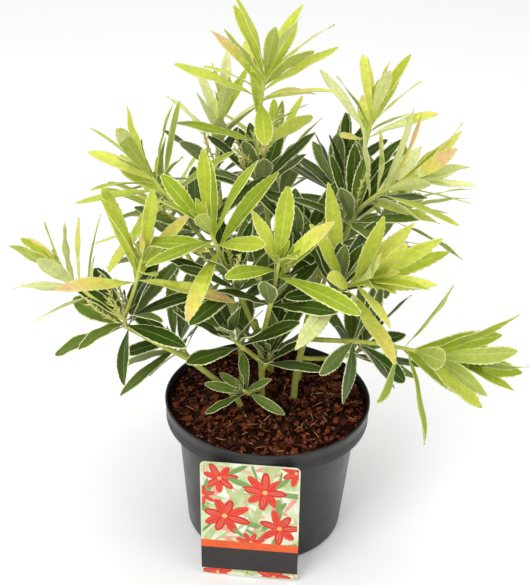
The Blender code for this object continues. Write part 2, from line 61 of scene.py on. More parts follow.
# Pot
RIM_RADIUS = 85.0 * MM
POT_HEIGHT = 124.3 * MM
COLLAR_HEIGHT = 18.0 * MM
COLLAR_FOOT_RADIUS = 84.0 * MM
WAIST_RADIUS = 74.7 * MM
BASE_RADIUS = 66.2 * MM
BASE_CORNER = 3.0 * MM
POT_WALL = 1.6 * MM
POT_STEPS = 160
RIM_ARCS = 5
LIP_HEIGHT = 2.5 * MM
LIP_OUT = 0.6 * MM
RINGS = 4
RING_FIRST = 1.6 * MM
RING_SPACING = 1.5 * MM
RING_OUT = 0.22 * MM
RING_HALF_WIDTH = 0.35 * MM
COLLAR_DRAFT = 0.022
WAIST_STEP = 0.3 * MM
WAIST_DROP = 1.2 * MM
DRAIN_HOLES = 8
DRAIN_RADIUS = 5.0 * MM
DRAIN_CIRCLE = 48.0 * MM

# Compost
COMPOST_TOP = 118.6 * MM
COMPOST_EDGE = RIM_RADIUS - POT_WALL - 0.9 * MM
BED_RINGS = 44
BED_STEPS = 150
LUMP_FINENESS = 240.0
LUMP_HEIGHT = 1.5 * MM
LUMP_SINK = 0.6 * MM

# Card
CARD_WIDTH = 78.4 * MM
CARD_HEIGHT = 114.0 * MM
CARD_THICKNESS = 0.6 * MM
CARD_CORNER = 4.0 * MM
CARD_TOP = 115.2 * MM
CARD_SHIFT = -3.9 * MM
CARD_YAW = math.radians(-5.1)
CARD_ROLL = math.radians(0.9)
# Heights of the print on the card, from its middle
PICTURE_FOOT = CARD_HEIGHT / 2 - 77.5 * MM
BAND_FOOT = CARD_HEIGHT / 2 - 85.0 * MM
STRIP_TOP = CARD_HEIGHT / 2 - 107.5 * MM
PRINT_INSET = 1.2 * MM
BLOOM_LIFT = 0.05 * MM
BAND_LIFT = 0.06 * MM

# Stems and boughs, as in the part
STATIONS = 4
STEMS = {
    # name: foot x and y, height of the bend, tip, radius at the foot, radius at the tip
    "left_stem": (-22, -12, 130, (-72, -24, 178), 2.5, 2.1),
    "centre_stem": (-5, 2, 165, (-12, -20, 206), 2.6, 2.2),
    "right_stem": (22, 5, 165, (38, 0, 206), 2.7, 2.3),
    "back_left_stem": (-22, 26, 172, (-42, 38, 226), 2.6, 2.2),
    "back_right_stem": (26, 32, 172, (44, 46, 226), 2.6, 2.2),
    "rear_stem": (2, 44, 172, (-2, 58, 240), 2.7, 2.2),
}
BOUGHS = {
    # name: parent, share of the parent's length, tip, bend, radius, radius at the tip
    "left_bough": ("left_stem", 0.93, (-108, -37, 206), (-90, -30, 190), 2.1, 1.9),
    "left_low_bough": ("left_stem", 0.74, (-68, -4, 165), (-60, -12, 158), 1.9, 1.8),
    "front_left_bough": ("centre_stem", 0.80, (-25, -37, 240), (-17, -24, 213), 2.1, 1.9),
    "front_bough": ("centre_stem", 0.62, (-1, -40, 230), (-4, -24, 203), 2.1, 1.9),
    "front_low_bough": ("centre_stem", 0.42, (-20, -30, 187), (-13, -16, 173), 1.9, 1.8),
    "low_centre_bough": ("centre_stem", 0.28, (-2, -9, 160), (-4, -4, 152), 1.9, 1.8),
    "low_front_bough": ("centre_stem", 0.12, (-15, -16, 136), (-12, -8, 132), 1.8, 1.8),
    "lower_right_bough": ("right_stem", 0.66, (62, -34, 199), (42, -14, 187), 2.1, 1.9),
    "right_low_bough": ("right_stem", 0.44, (66, 8, 160), (46, 8, 154), 1.9, 1.8),
    "right_mid_bough": ("right_stem", 0.94, (48, -20, 232), (42, -8, 218), 2.1, 1.9),
    "centre_bough": ("right_stem", 0.84, (22, 2, 240), (26, 2, 214), 2.0, 1.9),
    "upper_left_bough": ("back_left_stem", 0.94, (-58, 16, 262), (-50, 30, 244), 2.1, 1.9),
    "behind_left_bough": ("back_left_stem", 0.84, (-46, 72, 284), (-40, 56, 240), 2.0, 1.9),
    "back_left_bough": ("back_left_stem", 0.66, (-74, 80, 214), (-56, 56, 196), 2.0, 1.8),
    "top_bough": ("rear_stem", 0.94, (-9, 46, 284), (-4, 58, 262), 2.1, 1.9),
    "back_bough": ("rear_stem", 0.84, (4, 104, 248), (2, 76, 228), 2.0, 1.9),
    "back_low_left_bough": ("rear_stem", 0.70, (-46, 112, 208), (-20, 78, 192), 2.0, 1.8),
    "rear_low_bough": ("rear_stem", 0.40, (8, 84, 162), (6, 66, 156), 1.9, 1.8),
    "upper_right_bough": ("back_right_stem", 0.95, (58, 44, 276), (52, 46, 252), 2.1, 1.9),
    "right_bough": ("back_right_stem", 0.88, (60, 22, 272), (54, 34, 240), 2.1, 1.9),
    "behind_right_bough": ("back_right_stem", 0.80, (48, 68, 278), (46, 58, 236), 2.0, 1.9),
    "back_right_bough": ("back_right_stem", 0.68, (84, 76, 222), (62, 56, 200), 2.0, 1.8),
    "back_low_right_bough": ("back_right_stem", 0.52, (56, 112, 200), (44, 74, 184), 2.0, 1.8),
}

# Room that a leaf keeps from its neighbours, and the swings it tries to find it, in degrees
LEAF_MARGIN = 0.4 * MM
LIMB_MARGIN = 0.6 * MM
RIM_MARGIN = 3.0 * MM
COMPOST_MARGIN = 2.0 * MM
TREE_SIDES = 6
NEAR_SHARE = 0.6
SWINGS = (0, 10, -10, 20, -20, 32)

# Masses of foliage: whorls of leaves that follow the golden angle
TWIG_RADIUS = 1.8 * MM
TWIG_TIP_RADIUS = 1.3 * MM
TWIG_LEAD = 0.45
SHOOT_SAG = 0.12
LOWEST_LEAF = 0.04
WHORL_GAP = 1.5
GOLDEN_ANGLE = math.radians(137.508)
LENGTH_SHARE = 0.98
LENGTH_LOOSENESS = 1 / 75
TURN_LOOSENESS = 0.25
INNER_SHORTER = 0.22
INNER_NARROWER = 0.25
Kind = namedtuple("Kind", "length width outer inner span arch loose rise")
KINDS = {
    # leaf length and width, angle from the whorl's axis of the outer and inner leaves, span,
    # arch, how loosely the leaves follow that angle, and how far the axis turns up from the twig
    "young": Kind(70, 14.5, 84, 14, 22, 14, 9, 0.0),
    "fan": Kind(82, 15, 68, 10, 34, 8, 9, 0.0),
    "pale": Kind(60, 12, 64, 8, 28, 12, 9, 0.0),
    "sweep": Kind(68, 13.5, 60, 8, 34, 10, 9, 0.0),
    "old": Kind(64, 15, 96, 36, 18, 20, 12, 0.0),
    "upright": Kind(62, 14, 70, 8, 24, 12, 14, 0.65),
    "low": Kind(40, 9.5, 94, 44, 14, 16, 18, 0.2),
}
Shoot = namedtuple("Shoot", "along tip whorls")
SHOOTS = {
    # name: tip of its stem, then its whorls: kind, share of the stem, leaves, turn in degrees
    "front_left_mass": ((-46, -67, 308), ("young", 1.0, 11, 216), ("upright", 0.14, 11, 50)),
    "front_mass": ((4, -73, 286), ("young", 1.0, 8, 354), ("upright", 0.12, 10, 10)),
    "left_spray": ((-110, -40, 222), ("old", 1.0, 14, 174)),
    "lower_right_mass": ((128, -80, 215), ("fan", 1.0, 13, 132), ("old", 0.12, 6, 220)),
    "right_mid_mass": ((68, -50, 262), ("fan", 1.0, 14, 216), ("upright", 0.12, 11, 200)),
    "top_mass": ((-9, 25, 396), ("young", 1.0, 17, 228), ("young", 0.66, 4, 10),
                 ("upright", 0.22, 14, 120)),
    "upper_left_mass": ((-95, -2, 321), ("young", 1.0, 14, 174), ("upright", 0.14, 11, 70)),
    "right_mass": ((104, 8, 319), ("sweep", 1.0, 16, 336), ("upright", 0.14, 10, 250)),
    "upper_right_mass": ((74, 40, 362), ("pale", 1.0, 14, 282), ("upright", 0.12, 9, 160)),
    "front_low_mass": ((-30, -48, 208), ("upright", 1.0, 13, 42)),
    "left_low_mass": ((-78, -8, 180), ("old", 1.0, 11, 216)),
    "right_low_mass": ((80, 8, 178), ("upright", 1.0, 12, 288), ("old", 0.3, 4, 30)),
    "low_front_mass": ((-20, -24, 144), ("low", 1.0, 7, 345)),
    "low_centre_mass": ((0, -18, 176), ("upright", 1.0, 12, 120)),
    "centre_mass": ((20, 0, 272), ("upright", 1.0, 14, 45), ("old", 0.2, 8, 170)),
    "behind_left_mass": ((-44, 80, 340), ("pale", 1.0, 13, 216), ("old", 0.2, 8, 12)),
    "behind_right_mass": ((53, 62, 298), ("upright", 1.0, 16, 324)),
    "back_mass": ((0, 128, 288), ("young", 1.0, 13, 180), ("old", 0.2, 8, 66)),
    "back_left_mass": ((-98, 102, 252), ("young", 1.0, 12, 5), ("old", 0.2, 8, 100)),
    "back_right_mass": ((112, 102, 262), ("young", 1.0, 13, 170), ("old", 0.2, 8, 230)),
    "back_low_left_mass": ((-72, 146, 224), ("young", 1.0, 11, 260), ("old", 0.2, 8, 19)),
    "back_low_right_mass": ((72, 150, 222), ("young", 1.0, 11, 300), ("old", 0.2, 8, 119)),
    "rear_low_mass": ((10, 104, 176), ("old", 1.0, 9, 219)),
}
SIDE_SHOOTS = {
    # name: shoots that leave the mass's stem at a share of its length
    "left_spray": (Shoot(0.7, (-159, -28, 250), (("pale", 1.0, 12, 240),)),
                   Shoot(0.9, (-95, -55, 276), (("young", 1.0, 9, 42),))),
}
MASSES = {name: (Shoot(0.0, tip, whorls), *SIDE_SHOOTS.get(name, ()))
          for name, (tip, *whorls) in SHOOTS.items()}

Leaf = namedtuple("Leaf", "mass kind root along up length width arch")


def vector(values):
    """A point or direction given in millimetres, in metres."""
    return Vector(values) * MM


def spin(angle, axis):
    """Matrix that turns by an angle round an axis."""
    return Matrix.Rotation(angle, 4, axis)


def curve_point(start, bend, tip, share):
    """Point at a share of a limb that leaves start towards bend and reaches tip."""
    return start.lerp(bend, share).lerp(bend.lerp(tip, share), share)


def between(along, side, opening):
    """Direction that opens from along towards side by an angle."""
    return along * math.cos(opening) + side * math.sin(opening)


class Path:
    """The middle line of a limb or twig, with its taper."""

    def __init__(self, start, bend, tip, radius, tip_radius):
        self.start, self.bend, self.tip = start, bend, tip
        self.radius, self.tip_radius = radius, tip_radius
        self.length = (tip - start).length
        self.side = (tip - start).orthogonal().normalized()

    def point(self, share):
        return curve_point(self.start, self.bend, self.tip, share)

    def direction(self, share):
        along = (self.bend - self.start).lerp(self.tip - self.bend, share)
        return along.normalized()

    def spoke(self, share, angle):
        """Direction square to the line, at an angle round it."""
        along = self.direction(share)
        across = (self.side - along * self.side.dot(along)).normalized()
        return between(across, along.cross(across), angle)

    def thickness(self, share):
        return self.radius + (self.tip_radius - self.radius) * share


def limb_paths():
    """Every stem and bough, worked out from the tables."""
    paths = {}
    for name, (across, deep, rise, tip, radius, tip_radius) in STEMS.items():
        foot = vector((across, deep, 0))
        foot.z = COMPOST_TOP + CLEARANCE
        paths[name] = Path(foot, vector((across, deep, rise)), vector(tip), radius * MM,
                           tip_radius * MM)
    for name, (parent, along, tip, bend, radius, tip_radius) in BOUGHS.items():
        paths[name] = Path(paths[parent].point(along), vector(bend), vector(tip), radius * MM,
                           tip_radius * MM)
    return paths


def twig_paths(name, limbs):
    """The stem of one mass, 0.3 mm from its bough's tip, and the shoots that leave it."""
    bough = limbs[name.replace("_mass", "_bough").replace("_spray", "_bough")]
    lead = bough.direction(1.0)
    paths = []
    for shoot in MASSES[name]:
        tip = vector(shoot.tip)
        if not paths:
            start = bough.tip + lead * CLEARANCE
            bend = start + lead * (tip - start).length * TWIG_LEAD
            radius = bough.tip_radius
        else:
            start = paths[0].point(shoot.along)
            bend = start.lerp(tip, 0.5) - UP * (tip - start).length * SHOOT_SAG
            radius = TWIG_RADIUS
        paths.append(Path(start, bend, tip, radius, TWIG_TIP_RADIUS))
    return paths


def whorl(mass, path, kind_name, at, count, turn):
    """Leaves round one stretch of a twig, the outer ones low and wide, the inner ones upright."""
    kind = KINDS[kind_name]
    chance = random.Random(turn * 7919 + count)
    for index in range(count):
        share = index / max(count - 1, 1)
        back = (kind.span * (1.0 - share) + WHORL_GAP) * MM
        place = max(at - back / path.length, LOWEST_LEAF)
        along = path.direction(place).lerp(UP, kind.rise).normalized()
        angle = math.radians(turn) + index * GOLDEN_ANGLE
        angle += chance.uniform(-TURN_LOOSENESS, TURN_LOOSENESS)
        side = path.spoke(place, angle)
        side = (side - along * side.dot(along)).normalized()
        opening = kind.outer + (kind.inner - kind.outer) * share
        opening = math.radians(opening + chance.uniform(-kind.loose, kind.loose))
        heading = between(along, side, opening)
        up = between(-side, along, opening)
        length = kind.length * (1.0 - INNER_SHORTER * share * share)
        length *= LENGTH_SHARE + chance.uniform(-1, 1) * kind.loose * LENGTH_LOOSENESS
        width = kind.width * (1.0 - INNER_NARROWER * share) * chance.uniform(0.9, 1.1)
        yield Leaf(mass, kind_name, path.point(place), heading, up, length * MM, width * MM,
                   math.radians(kind.arch * chance.uniform(0.5, 1.5)))


# Sections of a leaf: share of its length, half width as a share of the leaf's own
LEAF_SECTIONS = ((0.0, 0.0), (0.64, 1.0))
LEAF_ABOVE = 0.4 * MM
LEAF_BELOW = 0.6 * MM
STALK_HALF_WIDTH = 0.9 * MM


def leaf_spine(leaf, share):
    """Point, heading and upward direction on the arching middle line of a leaf."""
    angle = leaf.arch * share
    chord = between(leaf.along, -leaf.up, angle * 0.5)
    heading = between(leaf.along, -leaf.up, angle)
    return leaf.root + chord * leaf.length * share, heading, between(leaf.up, leaf.along, angle)


def leaf_corners(leaf, swell=0.0):
    """Corners of the leaf's three-sided sections, from the root on, with its tip last."""
    corners = []
    for share, wide in LEAF_SECTIONS:
        point, heading, up = leaf_spine(leaf, share)
        across = heading.cross(up) * (max(leaf.width * 0.5 * wide, STALK_HALF_WIDTH) + swell)
        lifted = point + up * (LEAF_ABOVE + swell)
        corners += [lifted - across, lifted + across, point - up * (LEAF_BELOW + swell)]
    tip, heading, up = leaf_spine(leaf, 1.0)
    return corners + [tip + heading * swell]


def loft_faces(sides, rows, pointed):
    """Faces between rows of corners, closed at the first row, and in one point or a flat end."""
    faces = [tuple(reversed(range(sides)))]
    for low in range(0, (rows - 1) * sides, sides):
        for number in range(sides):
            following = (number + 1) % sides
            faces.append((low + number, low + following, low + sides + following,
                          low + sides + number))
    last = (rows - 1) * sides
    if pointed:
        faces += [(last + number, last + (number + 1) % sides, last + sides)
                  for number in range(sides)]
    else:
        faces.append(tuple(range(last, last + sides)))
    return faces


LEAF_FACES = loft_faces(3, len(LEAF_SECTIONS), True)
LIMB_FACES = loft_faces(TREE_SIDES, STATIONS + 1, False)


def leaf_tree(leaf, swell=0.0):
    """Search tree of a leaf's surface."""
    return BVHTree.FromPolygons(leaf_corners(leaf, swell), LEAF_FACES)


def limb_tree(path):
    """Search tree of a limb, made thicker by the room that leaves keep from it."""
    corners = []
    for step in range(STATIONS + 1):
        share = step / STATIONS
        radius = path.thickness(share) + LIMB_MARGIN
        corners += [path.point(share) + path.spoke(share, number * math.tau / TREE_SIDES) * radius
                    for number in range(TREE_SIDES)]
    return BVHTree.FromPolygons(corners, LIMB_FACES)


def clear_of_pot(leaf):
    """True where every corner of the leaf is well over the pot, or over the compost inside it."""
    for corner in leaf_corners(leaf):
        inside = math.hypot(corner.x, corner.y) < RIM_RADIUS - RIM_MARGIN
        floor = COMPOST_TOP + COMPOST_MARGIN if inside else POT_HEIGHT + RIM_MARGIN
        if corner.z < floor:
            return False
    return True


def fit_leaf(leaf, obstacles, kept):
    """The leaf, swung a little where that clears its neighbours, with its search tree, or None."""
    for swing in SWINGS:
        angle = math.radians(swing)
        tried = leaf._replace(along=between(leaf.along, leaf.up, angle),
                              up=between(leaf.up, -leaf.along, angle))
        if not clear_of_pot(tried):
            continue
        tree = leaf_tree(tried, LEAF_MARGIN)
        if any(tree.overlap(other) for other in obstacles):
            continue
        middle = leaf_spine(tried, 0.5)[0]
        near = [other_tree for other, other_tree, other_middle in kept
                if other.mass != leaf.mass
                and (other_middle - middle).length < (leaf.length + other.length) * NEAR_SHARE]
        if not any(tree.overlap(other) for other in near):
            return tried, leaf_tree(tried), middle
    return None


def plan_plant():
    """Paths of the limbs and twigs, and every leaf that keeps clear of other masses and limbs."""
    limbs = limb_paths()
    twigs = {name: twig_paths(name, limbs) for name in MASSES}
    limb_trees = [limb_tree(path) for path in limbs.values()]
    twig_trees = {name: [limb_tree(path) for path in paths] for name, paths in twigs.items()}
    kept = []
    for name, shoots in MASSES.items():
        obstacles = limb_trees + [tree for other, trees in twig_trees.items() if other != name
                                  for tree in trees]
        for path, shoot in zip(twigs[name], shoots):
            for row in shoot.whorls:
                for leaf in whorl(name, path, *row):
                    fitted = fit_leaf(leaf, obstacles, kept)
                    if fitted:
                        kept.append(fitted)
    return limbs, twigs, [leaf for leaf, tree, middle in kept]


# Blades: columns across a leaf as shares of its half width, and rows along it. In these
# tables a pair is the least and the most of a random draw, and angles are in degrees.
BLADE_COLUMNS = (-1.0, -0.9, -0.5, -0.036, 0.036, 0.5, 0.9, 1.0)
BLADE_ROWS = 30
BLADE_THICKNESS = 0.4 * MM
STALK_HALF = 0.45 * MM
TOOTH = 0.05
TOOTHED = (0.35, 0.99)
TOOTH_LEAN = 0.45
BRIGHT_FOLD = (8, 30)
OLD_FOLD = (4, 20)
FOLD_EASING = 0.45
TWIST = (-20, 20)
WAVE = (0.1 * MM, 0.7 * MM)
WAVES = (1.5 * math.tau, 3.0 * math.tau)
WAVE_OPENING = 5.0
# Half width of the blade inside its cream margin, as a share of its whole half width
MARGIN = (0.82, 0.93)
SWELL = (1.1, 1.5)
TAPER = (0.65, 0.9)
TIP_TAPER = {"fan": (0.8, 1.05), "sweep": (0.85, 1.15), "pale": (0.75, 1.05)}
# The widest half of some leaves, as a share of the half that the part gives them
FULLNESS = {"lower_right_mass": 1.22, "old": 1.1, "upright": 1.1}

# Shades of the leaves by kind
SHADES = {
    "young": ("lime", "spring", "fresh", "yellow", "lime", "spring"),
    "fan": ("spring", "yellow", "pale", "lime", "spring"),
    "sweep": ("yellow", "pale", "pale", "spring"),
    "pale": ("pale", "yellow", "lime", "pale"),
    "old": ("deep", "dark", "deep", "moss"),
    "upright": ("dark", "deep", "moss", "dark"),
    "low": ("moss", "dark", "moss"),
}
BRIGHT_KINDS = ("young", "fan", "sweep", "pale")
OLD_KINDS = ("old", "upright", "low")
# Bright leaves of the front shoots are a fuller green than those behind
FULL_MASSES = ("front_left_mass", "front_mass", "lower_right_mass")
FULL_SHADES = ("fresh", "lime", "fresh", "spring", "fresh", "lime")
# Share of a mass's bright leaves that end in a warm tint, and the tints on the way to the tip
WARM_TIPS = {
    "upper_right_mass": 0.55, "right_mass": 0.28, "right_mid_mass": 0.15, "top_mass": 0.3,
    "left_spray": 0.3, "upper_left_mass": 0.12, "behind_left_mass": 0.1,
}
STRAY_WARM_TIPS = 0.03
TINT_STEPS = ("spring", "yellow", "straw", "straw", "peach", "warm")
TINT_FROM = (0.0, 0.6)
TINT_STEP = (0.09, 0.2)
TINT_LEAN = (-0.05, 0.05)
HEART_LEAVES = 5
HEART_OPENING = (6, 30)
HEART_LENGTH = (0.2, 0.42)
HEART_WIDTH = 0.2
HEART_ARCH = 8
SPRAYS_BY_MASS = {
    "top_mass": 8, "front_left_mass": 3, "left_spray": 4, "upper_left_mass": 3,
    "behind_left_mass": 3, "right_mass": 2, "front_mass": 2, "back_mass": 3,
}
SPRAY_PLACE = (0.12, 0.4)
SPRAY_OPENING = (12, 42)
SPRAY_LENGTH = (26, 44)
SPRAY_BEND = 0.12
SPRAY_RADII = (0.75 * MM, 0.4 * MM)
SPRAY_SIDES = 5
SPRAY_ROWS = 6
SPRAY_BUDS = (18, 26)
BUD_OPENING = (25, 60)
BUD_LENGTH = (3.0, 6.0)
BUD_RADIUS = 0.95 * MM
FIRST_BUD = 0.2
FOOT_SCALES = 9
SCALE_OPENING = (15, 45)
SCALE_LENGTH = (2.0, 4.5)
SCALE_RADIUS = 0.8 * MM
SCALE_FIRST = 0.03
SCALE_STEP = 0.025

# Limbs and twigs as tubes: sides, spacing of the rows, and the spacing and height of leaf scars
LIMB_SIDES = 14
LIMB_ROW = 1.6 * MM
LIMB_SCARS = (7.0 * MM, 0.12)
TWIG_SIDES = 10
TWIG_ROW = 2.0 * MM
TWIG_SCARS = (5.0 * MM, 0.14)
FEWEST_ROWS = 6
FOOT_FLARE = 0.06
BARK_RELIEF = 0.07
BARK_GRAIN = 900.0
# How far the stems, boughs and twigs sink into what carries them
STEM_SINK = 5.0 * MM
BOUGH_SINK = 0.5 * MM
TWIG_SINK = 0.8 * MM


def blade_width(share, swell, taper):
    """Half width of a leaf at a share of its length, as a share of its widest half."""
    widest = swell / (swell + taper)
    return (share / widest) ** swell * ((1.0 - share) / (1.0 - widest)) ** taper


def mesh_data(name, mesh):
    """Mesh data of a bmesh, which is freed."""
    data = bpy.data.meshes.new(name)
    mesh.to_mesh(data)
    mesh.free()
    return data


def add_shape(piece, shape):
    """Add a small finished bmesh to the bmesh of a piece."""
    data = mesh_data("shape", shape)
    piece.from_mesh(data)
    bpy.data.meshes.remove(data)


def set_slot(mesh, slot, smooth=False):
    """Give every face of a bmesh one of its piece's finishes."""
    for face in mesh.faces:
        face.material_index = slot
        face.smooth = smooth


def angle_from(chance, pair):
    """A random angle between two given in degrees."""
    return math.radians(chance.uniform(*pair))


def shade_blade(faces, leaf, palette, chance):
    """Deal the shades of one leaf to its flat grid: cream margin, pale rib, blade and warm tip."""
    columns = len(BLADE_COLUMNS) - 1
    rib, margin = len(palette) // 2 - 2, len(palette) // 2 - 1
    is_bright = leaf.kind in BRIGHT_KINDS
    full = is_bright and leaf.mass in FULL_MASSES
    blade = palette.index(chance.choice(FULL_SHADES if full else SHADES[leaf.kind]))
    warm = chance.random() < WARM_TIPS.get(leaf.mass, STRAY_WARM_TIPS) and is_bright
    tint_from = chance.uniform(*TINT_FROM)
    tint_step = chance.uniform(*TINT_STEP)
    lean = [chance.uniform(*TINT_LEAN) for column in range(columns)]
    for face in faces:
        middle = face.calc_center_median()
        column = int((middle.x + 1.0) / 2.0 * columns)
        share = (middle.y + 1.0) / 2.0
        step = math.floor((share + lean[column] - tint_from) / tint_step)
        if column in (0, columns - 1):
            slot = margin
        elif column == columns // 2:
            slot = rib
        elif warm and step >= 0:
            slot = palette.index(TINT_STEPS[min(step, len(TINT_STEPS) - 1)])
        else:
            slot = blade
        face.material_index = slot
        face.smooth = True


def bend_blade(vertices, leaf, chance):
    """Bring a flat grid to the leaf's place: arched, folded along its rib, toothed and waved."""
    columns = len(BLADE_COLUMNS) - 1
    is_bright = leaf.kind in BRIGHT_KINDS
    fold = angle_from(chance, BRIGHT_FOLD if is_bright else OLD_FOLD)
    twist = angle_from(chance, TWIST)
    wave = chance.uniform(*WAVE)
    waves = chance.uniform(*WAVES)
    phase = chance.uniform(0.0, math.tau)
    margin = [chance.uniform(*MARGIN) for row in range(BLADE_ROWS + 1)]
    swell = chance.uniform(*SWELL)
    taper = chance.uniform(*TIP_TAPER.get(leaf.kind, TAPER))
    fullness = FULLNESS.get(leaf.mass if is_bright else leaf.kind, 1.0)
    for vertex in vertices:
        column = round((vertex.co.x + 1.0) / 2.0 * columns)
        row = round((vertex.co.y + 1.0) / 2.0 * BLADE_ROWS)
        side = BLADE_COLUMNS[column]
        reach = abs(side)
        share = row / BLADE_ROWS
        half = blade_width(share, swell, taper) * leaf.width * 0.5 * fullness
        half = max(half, STALK_HALF * (1.0 - share))
        if reach == 1.0 and TOOTHED[0] < share < TOOTHED[1]:
            half *= 1.0 + TOOTH if row % 2 else 1.0 - TOOTH
            share = min(share + TOOTH_LEAN / BLADE_ROWS * (row % 2), 1.0)
        elif column in (1, columns - 1):
            side = math.copysign(margin[row], side)
        point, heading, up = leaf_spine(leaf, share)
        turn = twist * share * share
        across = heading.cross(up)
        sideways, upward = between(across, up, turn), between(up, -across, turn)
        opened = min(share * WAVE_OPENING, 1.0)
        lift = reach * half * math.tan(fold) * (1.0 - FOLD_EASING * reach)
        lift += math.sin(waves * share + phase * (1 + column // 4)) * wave * reach * opened
        vertex.co = point + sideways * (side * half) + upward * lift


def grow_blades(name, leaves, palette, materials):
    """One piece of toothed leaves, each a grid that is shaded flat and then bent to its place."""
    mesh = bmesh.new()
    mesh.loops.layers.uv.new("UVMap")
    for number, leaf in enumerate(leaves):
        chance = random.Random(number * 31 + len(leaf.mass))
        blade = bmesh.new()
        blade.loops.layers.uv.new("UVMap")
        bmesh.ops.create_grid(blade, x_segments=len(BLADE_COLUMNS) - 1,
                              y_segments=BLADE_ROWS, size=1.0, calc_uvs=True)
        shade_blade(blade.faces, leaf, palette, chance)
        bend_blade(blade.verts, leaf, chance)
        add_shape(mesh, blade)
    finishes = [materials[shade] for shade in palette]
    piece = finish_piece(name, mesh, finishes, "foliage", *MASSES)
    thickness = piece.modifiers.new("leaf thickness", "SOLIDIFY")
    thickness.thickness = BLADE_THICKNESS
    thickness.offset = -1.0
    thickness.material_offset = len(palette) // 2


def heart_leaves(twigs, kinds):
    """Small leaves that open in the heart of each shoot whose end whorl is one of these kinds."""
    leaves = []
    for name, shoots in MASSES.items():
        for path, shoot in zip(twigs[name], shoots):
            kind = shoot.whorls[0][0]
            if kind not in kinds:
                continue
            chance = random.Random(len(leaves) * 7 + 3)
            for number in range(HEART_LEAVES):
                along = path.direction(1.0)
                side = path.spoke(1.0, number * GOLDEN_ANGLE)
                opening = angle_from(chance, HEART_OPENING)
                length = KINDS[kind].length * chance.uniform(*HEART_LENGTH) * MM
                leaves.append(Leaf(name, kind, path.point(1.0), between(along, side, opening),
                                   between(-side, along, opening), length,
                                   length * HEART_WIDTH, math.radians(HEART_ARCH)))
    return leaves


def grow_tube(mesh, path, sides, rows, radius_at, back=0.0):
    """A closed limb: a grid wrapped round its path, its first and last rows drawn to a point."""
    tube = bmesh.new()
    bmesh.ops.create_grid(tube, x_segments=sides, y_segments=rows + 2, size=1.0)
    set_slot(tube, 0, True)
    for vertex in tube.verts:
        row = round((vertex.co.y + 1.0) / 2.0 * (rows + 2))
        angle = (vertex.co.x + 1.0) * math.pi
        share = min(max(row - 1, 0), rows) / rows
        place = path.point(share)
        if row <= 1:
            place = place - path.direction(0.0) * back
        radius = 0.0 if row in (0, rows + 2) else radius_at(place, share, angle)
        vertex.co = place + path.spoke(share, angle) * radius
    bmesh.ops.remove_doubles(tube, verts=tube.verts, dist=WELD)
    add_shape(mesh, tube)


def bark_radius(path, scar_spacing, scar_height, flare):
    """Radius of a limb with its taper, a flare at the foot, leaf scars and small relief."""
    scars = max(round(path.length / scar_spacing), 1)

    def radius_at(place, share, angle):
        scar = share * scars
        facing = math.cos(angle - math.floor(scar) * GOLDEN_ANGLE)
        ridge = max(1.0 - abs(scar - math.floor(scar) - 0.5) * 4.0, 0.0)
        knob = scar_height * ridge * (0.4 + 0.6 * max(facing, 0.0))
        relief = BARK_RELIEF * noise.noise(place * BARK_GRAIN)
        foot = flare * math.exp(-share * 9.0)
        return path.thickness(share) * (1.0 + foot + knob + relief)

    return radius_at


def grow_limbs(name, paths, sides, row, scars, flare, sink, material, slot, *nodes):
    """One piece of limbs with bark relief, each sunk a little into what carries it."""
    mesh = bmesh.new()
    for path in paths:
        rows = max(round(path.length / row), FEWEST_ROWS)
        grow_tube(mesh, path, sides, rows, bark_radius(path, *scars, flare), sink)
    finish_piece(name, mesh, [material], slot, *nodes)


def grow_cone(mesh, place, heading, length, radius, slot):
    """A small pointed scale or bud."""
    turn = heading.to_track_quat("Z", "Y").to_matrix().to_4x4()
    matrix = Matrix.Translation(place + heading * length * 0.5) @ turn
    cone = bmesh.new()
    bmesh.ops.create_cone(cone, cap_ends=True, segments=5, radius1=radius,
                          radius2=radius * 0.15, depth=length, matrix=matrix)
    set_slot(cone, slot)
    add_shape(mesh, cone)


def grow_sprays(twigs, materials):
    """Last year's bud sprays beside the older whorls, and scales round the foot of each shoot."""
    mesh = bmesh.new()
    for name, count in SPRAYS_BY_MASS.items():
        path = twigs[name][0]
        chance = random.Random(len(name) * 13)
        for number in range(count):
            share = chance.uniform(*SPRAY_PLACE)
            side = path.spoke(share, number * GOLDEN_ANGLE)
            heading = between(path.direction(share), side, angle_from(chance, SPRAY_OPENING))
            start = path.point(share)
            length = chance.uniform(*SPRAY_LENGTH) * MM
            tip = start + heading * length
            bend = start.lerp(tip, 0.5) + side * length * SPRAY_BEND
            stalk = Path(start, bend, tip, *SPRAY_RADII)
            grow_tube(mesh, stalk, SPRAY_SIDES, SPRAY_ROWS,
                      lambda place, share, angle: stalk.thickness(share))
            buds = chance.randint(*SPRAY_BUDS)
            for bud in range(buds):
                at = FIRST_BUD + (1.0 - FIRST_BUD) * bud / (buds - 1)
                out = angle_from(chance, BUD_OPENING)
                aside = stalk.spoke(at, bud * GOLDEN_ANGLE)
                facing = between(stalk.direction(at), aside, out)
                grow_cone(mesh, stalk.point(at), facing, chance.uniform(*BUD_LENGTH) * MM,
                          BUD_RADIUS, bud % 2)
    for path in sum(twigs.values(), []):
        chance = random.Random(round(path.tip.x / MM))
        for number in range(FOOT_SCALES):
            share = SCALE_FIRST + SCALE_STEP * number
            out = angle_from(chance, SCALE_OPENING)
            aside = path.spoke(share, number * GOLDEN_ANGLE)
            facing = between(path.direction(share), aside, out)
            foot = path.point(share) + aside * path.thickness(share) * 0.6
            grow_cone(mesh, foot, facing, chance.uniform(*SCALE_LENGTH) * MM, SCALE_RADIUS,
                      number % 2)
    finish_piece("bud_sprays", mesh, materials, "foliage", *MASSES)


def place_object(name, data):
    """A new object in the scene."""
    thing = bpy.data.objects.new(name, data)
    bpy.context.scene.collection.objects.link(thing)
    return thing


